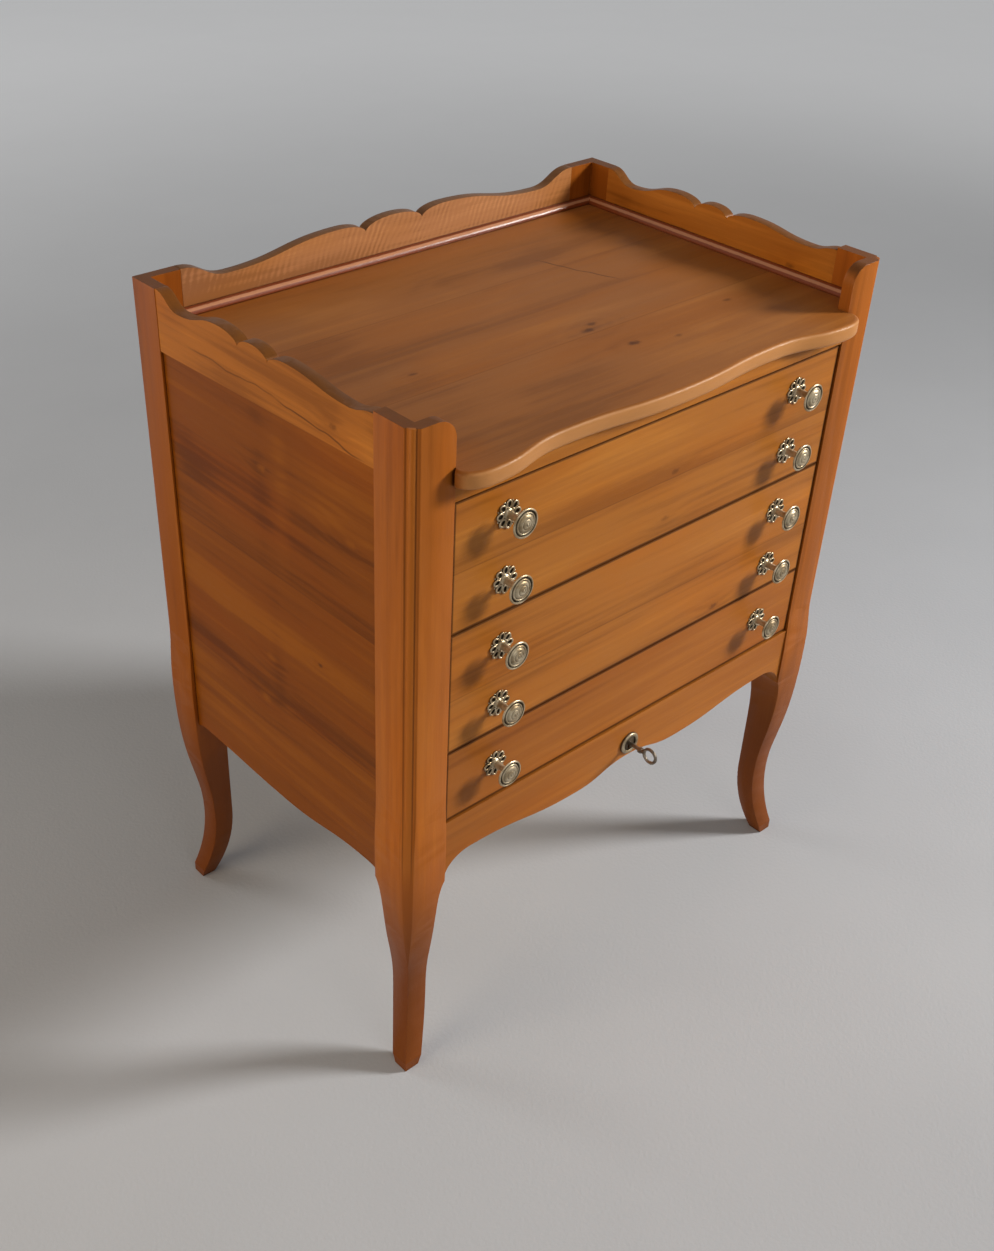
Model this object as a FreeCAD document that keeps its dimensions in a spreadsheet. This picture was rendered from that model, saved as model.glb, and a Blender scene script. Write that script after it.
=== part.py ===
import FreeCAD, Part
import math
import os
from types import SimpleNamespace

from FreeCAD import Rotation, Vector

# A small chest of three drawers on curved legs, with a scalloped gallery round its top.
# Millimetres. X runs to the right as seen from the front, Y to the back and Z up from the floor.

SIZES = {
    # The case
    "case_width": 630,
    "case_depth": 418,
    "gallery_height": 46.5,
    # Posts
    "front_post_width": 48,
    "front_post_depth": 49,
    "back_post_width": 47,
    "back_post_depth": 40,
    "front_wing_thickness": 13,
    "post_chamfer": 10,
    "knee_chamfer": 8,
    "chamfer_end_gap": 1,
    "post_bead_radius": 4.6,
    "post_bead_proud": 1.8,
    "shoulder_radius": 20,
    # Legs
    "knee_top_rise": 118,
    "knee_rise": 38,
    "knee_bulge": 2.2,
    "back_spring_drop": 8,
    "leg_throat_drop": 12,
    "shin_height": 168,
    "ankle_height": 105,
    "ankle_inset": 13.5,
    "ankle_thickness": 25,
    "foot_height": 12,
    "foot_thickness": 18,
    # Apron and front rail
    "apron_top_height": 338,
    "apron_thickness": 20,
    "apron_end_depth": 76,
    "apron_arch_width": 35,
    "apron_arch_depth": 49,
    "apron_lobe_offset": 78,
    "apron_lobe_depth": 62,
    "apron_centre_depth": 50,
    "top_rail_height": 17,
    "top_rail_thickness": 20,
    "top_rail_setback": 0.6,
    # Tenons
    "tenon_length": 25,
    "tenon_thickness": 9,
    "tenon_shoulder": 3,
    "rail_tenon_thickness": 6,
    "rail_tenon_drop": 18,
    "rail_tenon_rise": 7,
    # Gallery
    "rail_thickness": 13,
    "rail_inset": 0.5,
    "side_rail_front_drop": 6.5,
    "side_rail_back_drop": 16.5,
    "back_rail_thickness": 12,
    "back_rail_drop": 24.5,
    "notch_drop": 12,
    "crest_drop": 2,
    "side_lobe_shift": 7,
    "side_lobe_half": 23,
    "side_crest_offset": 29,
    "side_front_end_drop": 3,
    "side_front_dip_offset": 36,
    "side_front_dip_drop": 9.5,
    "side_back_dip_offset": 36,
    "side_back_dip_drop": 14,
    "back_lobe_half": 39,
    "back_lobe_drop": 0.5,
    "back_crest_offset": 33,
    "back_dip_offset": 55,
    "back_dip_drop": 16,
    # Top board and its mouldings
    "top_thickness": 17,
    "top_edge_radius": 4,
    "ear_overhang": 22,
    "ear_setback": 4,
    "ear_lap": 5,
    "ear_offset": 24,
    "waist_overhang": 7.5,
    "waist_offset": 145,
    "centre_overhang": 16.5,
    "bead_width": 8,
    "bead_height": 8,
    # Panels
    "panel_recess": 3,
    "panel_thickness": 9,
    "panel_tongue": 6,
    "side_arch_width": 18,
    "side_arch_front_rise": 6,
    "side_arch_back_rise": 5,
    "side_middle_drop": 6.5,
    "back_panel_thickness": 7,
    "back_panel_setback": 3,
    "back_lower_rail_rise": 23,
    "back_lower_rail_gap": 2,
    "back_lower_rail_thickness": 18,
    # Drawers
    "drawer_gap": 2,
    "drawer_end_gap": 2,
    "drawer_1_height": 134.5,
    "drawer_2_height": 134,
    "drawer_3_height": 83,
    "front_recess": 2,
    "front_thickness": 20,
    "drawer_side_thickness": 11,
    "drawer_lip": 10,
    "drawer_side_drop": 6,
    "drawer_rear_gap": 12,
    "drawer_bottom_rise": 6,
    "drawer_bottom_thickness": 6,
    "drawer_groove": 5,
    "drawer_back_thickness": 10,
    "drawer_back_inset": 6,
    "drawer_back_drop": 6,
    "tail_pitch": 36,
    "tail_neck": 16,
    "tail_width": 22,
    "tail_length": 13,
    # Runners, kickers and stops
    "slide_clearance": 0.5,
    "runner_shelf_width": 15,
    "runner_shelf_thickness": 9,
    "guide_rise": 16,
    "kicker_width": 27,
    "kicker_clearance": 3,
    "fittings_gap": 3,
    "kicker_screw_radius": 2,
    "kicker_screw_margin": 60,
    "kicker_screw_bite": 9,
    "stop_gap": 0.6,
    "stop_length": 8,
    "stop_height": 12,
    # Knobs
    "knob_offset": 202,
    "drawer_1_knob_low": 7.5,
    "drawer_1_knob_high": 75.7,
    "drawer_2_knob_low": 3.6,
    "drawer_2_knob_high": 71,
    "drawer_3_knob_low": 14,
    "rosette_plate_radius": 7.3,
    "rosette_loop_bite": 0.85,
    "rosette_loop_lap": 0.2,
    "rosette_loop_wall": 1.85,
    "rosette_thickness": 2,
    "knob_shank_radius": 2,
    "knob_foot_radius": 5.4,
    "knob_foot_rim": 0.8,
    "knob_foot_rise": 3.7,
    "knob_neck_radius": 3,
    "knob_head_back": 20.8,
    "knob_head_radius": 14.5,
    "knob_head_flare": 4.5,
    "knob_rim_thickness": 2.4,
    "knob_dome_rise": 2.8,
    "knob_nut_radius": 5,
    "knob_nut_thickness": 3.5,
    # Lock, escutcheon and key
    "key_axis_drop": 33,
    "escutcheon_radius": 13.2,
    "escutcheon_thickness": 2,
    "escutcheon_rim_width": 4,
    "escutcheon_dish_depth": 0.9,
    "escutcheon_pin_radius": 0.8,
    "escutcheon_pin_head_radius": 1.4,
    "escutcheon_pin_head": 0.8,
    "escutcheon_pin_length": 5,
    "keyhole_slot_width": 3,
    "keyhole_slot_length": 8.5,
    "lock_half_width": 27,
    "lock_depth": 14,
    "lock_wall": 1.6,
    "lock_below_axis": 10,
    "lock_flange": 10,
    "lock_flange_thickness": 2,
    "lock_screw_radius": 1.5,
    "lock_screw_head_radius": 3,
    "lock_screw_head": 1.2,
    "lock_screw_length": 12,
    "lock_screw_inset": 7,
    "bolt_half_width": 11,
    "bolt_thickness": 5,
    "bolt_clearance": 0.4,
    "bolt_throw": 7,
    "bolt_lift_gap": 1.3,
    "bolt_room_clearance": 2,
    "key_shank_radius": 2.3,
    "key_clearance": 0.5,
    "key_bow_distance": 31.5,
    "key_bow_radius": 8.2,
    "key_wire_radius": 1.8,
    "key_collar_radius": 3.6,
    "key_collar_length": 3,
    "key_collar_gap": 4,
    "key_bit_radius": 6.4,
    "key_bit_length": 6,
    "key_bit_thickness": 2.2,
    "key_end_length": 1,
}

PLACES = {
    "half_width": "Sizes.case_width / 2",
    "key_reach": "Sizes.key_bow_distance + Sizes.key_bow_radius + Sizes.key_wire_radius",
    "front_y": "(key_reach - Sizes.knee_bulge - Sizes.case_depth) / 2",
    "back_y": "front_y + Sizes.case_depth",
    "front_post_in": "half_width - Sizes.front_post_width",
    "front_post_rear": "front_y + Sizes.front_post_depth",
    "front_wing_rear": "front_y + Sizes.front_wing_thickness",
    "back_post_in": "half_width - Sizes.back_post_width",
    "back_post_face": "back_y - Sizes.back_post_depth",
    # Levels of the legs, down from the apron's top
    "front_leg_spring": "Sizes.apron_top_height - Sizes.apron_end_depth",
    "back_leg_spring": "front_leg_spring - Sizes.back_spring_drop",
    "knee_height": "front_leg_spring + Sizes.knee_rise",
    "knee_top_height": "front_leg_spring + Sizes.knee_top_rise",
    "apron_arch_height": "Sizes.apron_top_height - Sizes.apron_arch_depth",
    "apron_lobe_height": "Sizes.apron_top_height - Sizes.apron_lobe_depth",
    "apron_centre_height": "Sizes.apron_top_height - Sizes.apron_centre_depth",
    "side_middle_height": "front_leg_spring - Sizes.side_middle_drop",
    "back_lower_rail_low": "front_leg_spring + Sizes.back_lower_rail_rise",
    "back_lower_rail_high": "Sizes.apron_top_height - Sizes.back_lower_rail_gap",
    "key_axis_height": "Sizes.apron_top_height - Sizes.key_axis_drop",
    # Levels of the front, from the apron upwards
    "drawer_3_low": "Sizes.apron_top_height + Sizes.drawer_gap",
    "drawer_3_high": "drawer_3_low + Sizes.drawer_3_height",
    "drawer_2_low": "drawer_3_high + Sizes.drawer_gap",
    "drawer_2_high": "drawer_2_low + Sizes.drawer_2_height",
    "drawer_1_low": "drawer_2_high + Sizes.drawer_gap",
    "drawer_1_high": "drawer_1_low + Sizes.drawer_1_height",
    "top_rail_low": "drawer_1_high + Sizes.drawer_gap",
    "top_under": "top_rail_low + Sizes.top_rail_height",
    "top_face": "top_under + Sizes.top_thickness",
    "case_height": "top_face + Sizes.gallery_height",
    "side_rail_front_low": "top_face - Sizes.side_rail_front_drop",
    "side_rail_back_low": "top_face - Sizes.side_rail_back_drop",
    # Boards of the case
    "rail_out": "half_width - Sizes.rail_inset",
    "rail_in": "rail_out - Sizes.rail_thickness",
    "gallery_back": "back_y - Sizes.rail_inset",
    "gallery_front": "gallery_back - Sizes.back_rail_thickness",
    "back_rail_low": "top_under - Sizes.back_rail_drop",
    "panel_out": "half_width - Sizes.panel_recess",
    "panel_in": "panel_out - Sizes.panel_thickness",
    "back_panel_rear": "back_y - Sizes.back_panel_setback",
    "back_panel_face": "back_panel_rear - Sizes.back_panel_thickness",
    "apron_rear": "front_y + Sizes.apron_thickness",
    "top_rail_face": "front_y + Sizes.top_rail_setback",
    "top_rail_rear": "top_rail_face + Sizes.top_rail_thickness",
    # Drawer boxes
    "drawer_side_out": "front_post_in - Sizes.drawer_end_gap",
    "drawer_side_in": "drawer_side_out - Sizes.drawer_side_thickness",
    "front_face": "front_y + Sizes.front_recess",
    "front_inner": "front_face + Sizes.front_thickness",
    "drawer_rear": "back_panel_face - Sizes.drawer_rear_gap",
    "drawer_back_rear": "drawer_rear - Sizes.drawer_back_inset",
    "drawer_back_face": "drawer_back_rear - Sizes.drawer_back_thickness",
    "guide_face": "drawer_side_out + Sizes.slide_clearance",
    "shelf_in": "guide_face - Sizes.runner_shelf_width",
    "kicker_in": "guide_face - Sizes.kicker_width",
    "kicker_low": "drawer_1_high - Sizes.drawer_side_drop + Sizes.kicker_clearance",
    "fittings_front": "front_inner + Sizes.fittings_gap",
    # Lock and key
    "lock_front": "apron_rear - Sizes.lock_depth",
    "lock_low": "key_axis_height - Sizes.lock_below_axis",
    "cavity_front": "lock_front + Sizes.lock_wall",
    "bolt_y": "(cavity_front + apron_rear) / 2",
    "bolt_low": "key_axis_height + Sizes.key_shank_radius + Sizes.bolt_lift_gap",
    "key_end": "bolt_y + Sizes.key_bit_length / 2 + Sizes.key_end_length",
    "key_bow_y": "front_y - Sizes.key_bow_distance",
}

for number in (1, 2, 3):
    PLACES[f"side_{number}_low"] = f"drawer_{number}_low + Sizes.drawer_lip"
    PLACES[f"side_{number}_high"] = f"drawer_{number}_high - Sizes.drawer_side_drop"
    PLACES[f"bottom_{number}_low"] = f"side_{number}_low + Sizes.drawer_bottom_rise"
    PLACES[f"bottom_{number}_high"] = f"bottom_{number}_low + Sizes.drawer_bottom_thickness"
    PLACES[f"shelf_{number}_high"] = f"side_{number}_low - Sizes.slide_clearance"

doc = FreeCAD.newDocument("ChestOfDrawers")


def make_sheet(name, cells):
    """A sheet with one named cell per size."""
    sheet = doc.addObject("Spreadsheet::Sheet", name)
    for row, (alias, content) in enumerate(cells.items(), start=1):
        sheet.set(f"A{row}", alias)
        sheet.set(f"B{row}", content)
        sheet.setAlias(f"B{row}", alias)
    return sheet


sizes_sheet = make_sheet("Sizes", {alias: str(number) for alias, number in SIZES.items()})
places_sheet = make_sheet("Places", {alias: "=" + formula for alias, formula in PLACES.items()})
doc.recompute()

s = SimpleNamespace()
for alias in SIZES:
    setattr(s, alias, float(sizes_sheet.get(alias)))
for alias in PLACES:
    setattr(s, alias, float(places_sheet.get(alias)))

LEFT, RIGHT = "left", "right"
SIDES = (LEFT, RIGHT)
SIGN = {LEFT: "-", RIGHT: ""}
# Handle length of a curve that stands for a quarter of an ellipse
QUARTER = 0.5523
nodes = []


def node(obj):
    """Marks a document object as a piece that is handed in."""
    nodes.append(obj)
    return obj


class Outline:
    """A closed outline drawn from point to point, with one direction across and one up."""

    def __init__(self, across, up):
        self.at = (across, up)
        self.pieces = []

    def through(self, *poles):
        self.pieces.append([self.at, *poles])
        self.at = poles[-1]

    def line(self, across, up):
        self.through((across, up))

    def ease(self, across, up):
        """An S-curve, level at both ends."""
        middle = (self.at[0] + across) / 2
        self.through((middle, self.at[1]), (middle, up), (across, up))

    def sway(self, across, up, turn):
        """An S-curve, upright at both ends, that swings over near a given level."""
        self.through((self.at[0], turn), (across, turn), (across, up))

    def quarter_from_level(self, across, up):
        """A quarter of an ellipse that starts level and ends upright."""
        start_across, start_up = self.at
        self.through(
            (start_across + QUARTER * (across - start_across), start_up),
            (across, up - QUARTER * (up - start_up)),
            (across, up),
        )

    def quarter_from_upright(self, across, up):
        """A quarter of an ellipse that starts upright and ends level."""
        start_across, start_up = self.at
        self.through(
            (start_across, start_up + QUARTER * (up - start_up)),
            (across - QUARTER * (across - start_across), up),
            (across, up),
        )

    def face(self, place):
        edges = []
        for poles in self.pieces:
            points = [place(across, up) for across, up in poles]
            if len(points) == 2:
                edges.append(Part.makeLine(*points))
            else:
                curve = Part.BezierCurve()
                curve.setPoles(points)
                edges.append(curve.toShape())
        return Part.Face(Part.Wire(edges))


def box_shape(x, y, z):
    """A box between a low and a high value in each direction."""
    corner = Vector(x[0], y[0], z[0])
    return Part.makeBox(x[1] - x[0], y[1] - y[0], z[1] - z[0], corner)


def mirrored(shape):
    """The same shape on the other side of the case."""
    return shape.mirror(Vector(0, 0, 0), Vector(1, 0, 0))


def sided(shape, side):
    """A shape drawn for the right, set on the given side."""
    return mirrored(shape) if side == LEFT else shape


def feature(name, shape, at=Vector(0, 0, 0)):
    obj = doc.addObject("Part::Feature", name)
    obj.Shape = shape
    obj.Placement = FreeCAD.Placement(at, Rotation())
    return obj


def board(name, x, y, z):
    """A plain board between a low and a high expression in each direction."""
    obj = doc.addObject("Part::Box", name)
    for axis, length, (low, high) in zip("xyz", ("Length", "Width", "Height"), (x, y, z)):
        obj.setExpression(length, f"({high}) - ({low})")
        obj.setExpression(f".Placement.Base.{axis}", low)
    return obj


def span(low, high, side):
    """Expressions for the X range of a piece drawn for the right, set on the given side."""
    return (f"-({high})", f"-({low})") if side == LEFT else (low, high)


def both_ways(reach):
    """Expressions for an X range that reaches as far to the left as to the right."""
    return f"-({reach})", reach


def rod(name, radius, x, y, z):
    """A round bar along Y between two expressions."""
    obj = doc.addObject("Part::Cylinder", name)
    obj.Placement.Rotation = Rotation(Vector(1, 0, 0), -90)
    obj.setExpression("Radius", radius)
    obj.setExpression("Height", f"({y[1]}) - ({y[0]})")
    for axis, position in zip("xyz", (x, y[0], z)):
        obj.setExpression(f".Placement.Base.{axis}", position)
    return obj


def fuse(name, pieces):
    obj = doc.addObject("Part::MultiFuse", name)
    obj.Shapes = pieces
    return obj


def cut(name, base, tools):
    """A piece with room cut into it for each of the tools."""
    obj = doc.addObject("Part::Cut", name)
    obj.Base = base
    obj.Tool = tools[0] if len(tools) == 1 else fuse(f"{name}_room", tools)
    return obj


def group(name, pieces):
    obj = doc.addObject("Part::Compound", name)
    obj.Links = pieces
    return obj


# Back gallery board: a scalloped top edge, and a tenon at each end
def back_gallery_shape():
    top = s.case_height
    notch = top - s.notch_drop
    crest_at = s.back_lobe_half + s.back_crest_offset
    dip_at = s.back_post_in - s.back_dip_offset
    line = Outline(-s.back_post_in, s.back_rail_low)
    line.line(s.back_post_in, s.back_rail_low)
    line.line(s.back_post_in, top)
    line.ease(dip_at, top - s.back_dip_drop)
    line.ease(crest_at, top - s.crest_drop)
    line.quarter_from_level(s.back_lobe_half, notch)
    line.quarter_from_upright(0, top - s.back_lobe_drop)
    line.quarter_from_level(-s.back_lobe_half, notch)
    line.quarter_from_upright(-crest_at, top - s.crest_drop)
    line.ease(-dip_at, top - s.back_dip_drop)
    line.ease(-s.back_post_in, top)
    line.line(-s.back_post_in, s.back_rail_low)
    face = line.face(lambda across, up: Vector(across, s.gallery_front, up))
    shape = face.extrude(Vector(0, s.back_rail_thickness, 0))
    middle_y = (s.gallery_front + s.gallery_back) / 2
    tenon_y = (middle_y - s.rail_tenon_thickness / 2, middle_y + s.rail_tenon_thickness / 2)
    tenon_z = (s.top_under + s.rail_tenon_rise, top - s.rail_tenon_drop)
    reach = s.back_post_in + s.tenon_length
    for x in ((s.back_post_in, reach), (-reach, -s.back_post_in)):
        shape = shape.fuse(box_shape(x, tenon_y, tenon_z))
    return shape


# Side gallery board: its lower edge falls towards the back
def side_rail_shape():
    top = s.case_height
    front, back = s.front_post_rear, s.back_post_face
    middle = (front + back) / 2 + s.side_lobe_shift
    notch = top - s.notch_drop
    crest = top - s.crest_drop
    line = Outline(front, s.side_rail_front_low)
    line.line(back, s.side_rail_back_low)
    line.line(back, top)
    line.ease(back - s.side_back_dip_offset, top - s.side_back_dip_drop)
    line.ease(middle + s.side_lobe_half + s.side_crest_offset, crest)
    line.quarter_from_level(middle + s.side_lobe_half, notch)
    line.quarter_from_upright(middle, crest)
    line.quarter_from_level(middle - s.side_lobe_half, notch)
    line.quarter_from_upright(middle - s.side_lobe_half - s.side_crest_offset, crest)
    line.ease(front + s.side_front_dip_offset, top - s.side_front_dip_drop)
    line.ease(front, top - s.side_front_end_drop)
    line.line(front, s.side_rail_front_low)
    face = line.face(lambda across, up: Vector(s.rail_in, across, up))
    shape = face.extrude(Vector(s.rail_thickness, 0, 0))
    middle_x = (s.rail_in + s.rail_out) / 2
    tenon_x = (middle_x - s.rail_tenon_thickness / 2, middle_x + s.rail_tenon_thickness / 2)
    tenon_z = (s.side_rail_front_low + s.rail_tenon_rise, top - s.rail_tenon_drop)
    shape = shape.fuse(box_shape(tenon_x, (front - s.tenon_length, front), tenon_z))
    return shape.fuse(box_shape(tenon_x, (back, back + s.tenon_length), tenon_z))


# Side panel: tongues in the posts, a top edge that meets the rail and an arched lower edge
def side_panel_shape():
    front, back = s.front_post_rear, s.back_post_face
    fall = (s.side_rail_front_low - s.side_rail_back_low) / (back - front)
    top_at_front = s.side_rail_front_low
    front_end = front - s.panel_tongue
    back_end = back + s.panel_tongue
    line = Outline(front_end, top_at_front + fall * s.panel_tongue)
    line.line(front_end, s.front_leg_spring)
    line.line(front, s.front_leg_spring)
    line.quarter_from_upright(front + s.side_arch_width, s.front_leg_spring + s.side_arch_front_rise)
    line.ease((front + back) / 2, s.side_middle_height)
    line.ease(back - s.side_arch_width, s.back_leg_spring + s.side_arch_back_rise)
    line.quarter_from_level(back, s.back_leg_spring)
    line.line(back_end, s.back_leg_spring)
    line.line(back_end, top_at_front - fall * (back_end - front))
    line.line(front_end, top_at_front + fall * s.panel_tongue)
    face = line.face(lambda across, up: Vector(s.panel_in, across, up))
    return face.extrude(Vector(s.panel_thickness, 0, 0))


# Top board: notched round the front posts, with a serpentine rounded front edge
def top_board_shape():
    front_edge = s.front_y - s.ear_overhang
    ear_tip = s.front_post_in + s.ear_lap
    ear_at = ear_tip - s.ear_lap - s.ear_offset
    line = Outline(-s.rail_in, s.gallery_front)
    line.line(-s.rail_in, s.front_wing_rear)
    line.line(-s.front_post_in, s.front_wing_rear)
    line.line(-s.front_post_in, s.front_y)
    line.line(-ear_tip, s.front_y - s.ear_setback)
    line.quarter_from_upright(-ear_at, front_edge)
    line.ease(-s.waist_offset, s.front_y - s.waist_overhang)
    line.ease(0, s.front_y - s.centre_overhang)
    line.ease(s.waist_offset, s.front_y - s.waist_overhang)
    line.ease(ear_at, front_edge)
    line.quarter_from_level(ear_tip, s.front_y - s.ear_setback)
    line.line(s.front_post_in, s.front_y)
    line.line(s.front_post_in, s.front_wing_rear)
    line.line(s.rail_in, s.front_wing_rear)
    line.line(s.rail_in, s.gallery_front)
    line.line(-s.rail_in, s.gallery_front)
    face = line.face(lambda across, up: Vector(across, up, s.top_under))
    shape = face.extrude(Vector(0, 0, s.top_thickness))
    front_edges = [
        edge
        for edge in shape.Edges
        if edge.BoundBox.YMax < s.front_y - s.ear_setback / 2 and edge.BoundBox.ZLength < s.top_thickness / 2
    ]
    return shape.makeFillet(s.top_edge_radius, front_edges)


# Quarter-round moulding in the corner between the top and a gallery board
def bead_face(corner, inward, place):
    line = Outline(corner, s.top_face)
    line.line(corner + inward * s.bead_width, s.top_face)
    line.quarter_from_upright(corner, s.top_face + s.bead_height)
    line.line(corner, s.top_face)
    return line.face(place)


def side_bead_shape():
    face = bead_face(s.rail_in, -1, lambda across, up: Vector(across, s.front_wing_rear, up))
    return face.extrude(Vector(0, s.gallery_front - s.front_wing_rear, 0))


def back_bead_shape():
    face = bead_face(s.gallery_front, -1, lambda across, up: Vector(-s.rail_in, across, up))
    return face.extrude(Vector(2 * s.rail_in, 0, 0))


# Apron: two lobes between an arch at each post
def apron_shape():
    arch_at = s.front_post_in - s.apron_arch_width
    arch_top = s.apron_arch_height
    line = Outline(-s.front_post_in, s.apron_top_height)
    line.line(-s.front_post_in, s.front_leg_spring)
    line.quarter_from_upright(-arch_at, arch_top)
    line.ease(-s.apron_lobe_offset, s.apron_lobe_height)
    line.ease(0, s.apron_centre_height)
    line.ease(s.apron_lobe_offset, s.apron_lobe_height)
    line.ease(arch_at, arch_top)
    line.quarter_from_level(s.front_post_in, s.front_leg_spring)
    line.line(s.front_post_in, s.apron_top_height)
    line.line(-s.front_post_in, s.apron_top_height)
    face = line.face(lambda across, up: Vector(across, s.front_y, up))
    return face.extrude(Vector(0, s.apron_thickness, 0))


# A post seen square on, measured inwards from its outer face
def post_face(width, spring, shoulder, place):
    top = s.case_height
    inner = s.ankle_inset + s.ankle_thickness
    line = Outline(0, top)
    line.line(0, s.knee_top_height)
    line.sway(-s.knee_bulge, s.knee_height, (s.knee_top_height + s.knee_height) / 2)
    line.sway(s.ankle_inset, s.ankle_height, s.shin_height)
    line.through((s.ankle_inset, (s.ankle_height + s.foot_height) / 2), (0, s.foot_height))
    line.line(0, 0)
    line.line(s.foot_thickness, 0)
    line.through((inner, s.ankle_height / 2), (inner, s.ankle_height))
    line.line(inner, s.shin_height)
    line.through((inner, (s.shin_height + spring) / 2), (inner, spring - s.leg_throat_drop), (width, spring))
    line.line(width, top - shoulder)
    if shoulder > 0:
        line.quarter_from_upright(width - shoulder, top)
    line.line(0, top)
    return line.face(place)


# Chamfer on the outer corner, seen along the diagonal: it follows the knee and runs out on the shin.
# place turns the distances from both outer faces into a point.
def chamfer_shape(place):
    above = s.case_height + s.post_chamfer
    outside = -s.post_chamfer
    line = Outline(outside, above)
    line.line(s.post_chamfer / 2, above)
    line.line(s.post_chamfer / 2, s.knee_top_height)
    line.sway(
        s.knee_chamfer / 2 - s.knee_bulge, s.knee_height, (s.knee_top_height + s.knee_height) / 2
    )
    line.sway(s.ankle_inset - s.chamfer_end_gap, s.ankle_height, s.shin_height)
    line.line(outside, s.ankle_height)
    line.line(outside, above)
    reach = s.front_post_width
    face = line.face(lambda across, up: place(across + reach, across - reach, up))
    return face.extrude(place(0, 2 * reach, 0) - place(2 * reach, 0, 0))


# Round bead along the chamfer, which sinks into the knee
def post_bead_shape(place):
    depth = s.post_chamfer / 2 + (s.post_bead_radius - s.post_bead_proud) / math.sqrt(2)
    length = s.case_height - s.knee_height
    return Part.makeCylinder(s.post_bead_radius, length, place(depth, depth, s.knee_height), Vector(0, 0, 1))


def post_shape(width, depth, spring, shoulder, place):
    seen_from_front = post_face(width, spring, shoulder, lambda across, up: place(across, -s.case_depth, up))
    seen_from_side = post_face(depth, spring, 0, lambda across, up: place(-s.case_width, across, up))
    through_y = place(0, s.case_depth, 0) - place(0, -s.case_depth, 0)
    through_x = place(s.case_width, 0, 0) - place(-s.case_width, 0, 0)
    return seen_from_front.extrude(through_y).common(seen_from_side.extrude(through_x))


def front_corner(from_side, from_front, up):
    return Vector(s.half_width - from_side, s.front_y + from_front, up)


def back_corner(from_side, from_back, up):
    return Vector(s.half_width - from_side, s.back_y - from_back, up)


# Above the top's underside only two thin wings of a post stand up
def front_post_shape():
    shape = post_shape(
        s.front_post_width, s.front_post_depth, s.front_leg_spring, s.shoulder_radius, front_corner
    )
    shape = shape.cut(chamfer_shape(front_corner)).fuse(post_bead_shape(front_corner))
    inside = box_shape(
        (s.front_post_in, s.rail_in),
        (s.front_wing_rear, s.front_post_rear),
        (s.top_under, s.case_height),
    )
    return shape.cut(inside)


def back_post_shape():
    shape = post_shape(s.back_post_width, s.back_post_depth, s.back_leg_spring, 0, back_corner)
    inside = box_shape(
        (s.back_post_in, s.rail_in),
        (s.back_post_face, s.gallery_front),
        (s.top_under, s.case_height),
    )
    return shape.cut(inside)


# Round plate in a ring of pierced loops that touch each other, its back on the XZ plane
ROSETTE_LOOPS = 8


def rosette_shape():
    forward = Vector(0, -1, 0)
    origin = Vector(0, 0, 0)
    half_step = math.pi / ROSETTE_LOOPS
    loop_foot = s.rosette_plate_radius - s.rosette_loop_bite
    loop_radius = loop_foot * math.sin(half_step) + s.rosette_loop_lap / 2
    loop_radius = loop_radius / (1 - math.sin(half_step))
    hole_radius = loop_radius - s.rosette_loop_wall
    plate = Part.makeCylinder(s.rosette_plate_radius, s.rosette_thickness, origin, forward)
    holes = [Part.makeCylinder(s.knob_shank_radius, s.rosette_thickness, origin, forward)]
    for step in range(ROSETTE_LOOPS):
        turn = 2 * half_step * step
        middle = Vector(math.cos(turn), 0, math.sin(turn)) * (loop_foot + loop_radius)
        plate = plate.fuse(Part.makeCylinder(loop_radius, s.rosette_thickness, middle, forward))
        holes.append(Part.makeCylinder(hole_radius, s.rosette_thickness, middle, forward))
    return plate.cut(holes).removeSplitter()


# Turned knob: shank, foot, neck and a domed head, on the Y axis with the drawer face at zero
def knob_shape():
    shank_end = s.front_thickness + s.knob_nut_thickness + s.knob_shank_radius
    foot_rim = s.rosette_thickness + s.knob_foot_rim
    rim = s.knob_head_back + s.knob_rim_thickness
    line = Outline(0, shank_end)
    line.line(s.knob_shank_radius, shank_end)
    line.line(s.knob_shank_radius, -s.rosette_thickness)
    line.line(s.knob_foot_radius, -s.rosette_thickness)
    line.line(s.knob_foot_radius, -foot_rim)
    line.quarter_from_level(s.knob_neck_radius, -foot_rim - s.knob_foot_rise)
    line.line(s.knob_neck_radius, s.knob_head_flare - s.knob_head_back)
    line.quarter_from_upright(s.knob_head_radius, -s.knob_head_back)
    line.line(s.knob_head_radius, -rim)
    line.quarter_from_upright(0, -rim - s.knob_dome_rise)
    line.line(0, shank_end)
    face = line.face(lambda across, up: Vector(across, up, 0))
    return face.revolve(Vector(0, 0, 0), Vector(0, 1, 0), 360)


def nut_shape():
    start = Vector(0, s.front_thickness, 0)
    backward = Vector(0, 1, 0)
    nut = Part.makeCylinder(s.knob_nut_radius, s.knob_nut_thickness, start, backward)
    return nut.cut(Part.makeCylinder(s.knob_shank_radius, s.knob_nut_thickness, start, backward))


# Drawer side with dovetails on its front end
def drawer_side_shape(low, high):
    count = max(1, int((high - low) // s.tail_pitch))
    pitch = (high - low) / count
    tail_tip = s.front_inner - s.tail_length
    line = Outline(s.drawer_rear, low)
    line.line(s.front_inner, low)
    for step in range(count):
        centre = low + pitch * (step + 0.5)
        line.line(s.front_inner, centre - s.tail_neck / 2)
        line.line(tail_tip, centre - s.tail_width / 2)
        line.line(tail_tip, centre + s.tail_width / 2)
        line.line(s.front_inner, centre + s.tail_neck / 2)
    line.line(s.front_inner, high)
    line.line(s.drawer_rear, high)
    line.line(s.drawer_rear, low)
    face = line.face(lambda across, up: Vector(s.drawer_side_in, across, up))
    return face.extrude(Vector(s.drawer_side_thickness, 0, 0))


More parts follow.
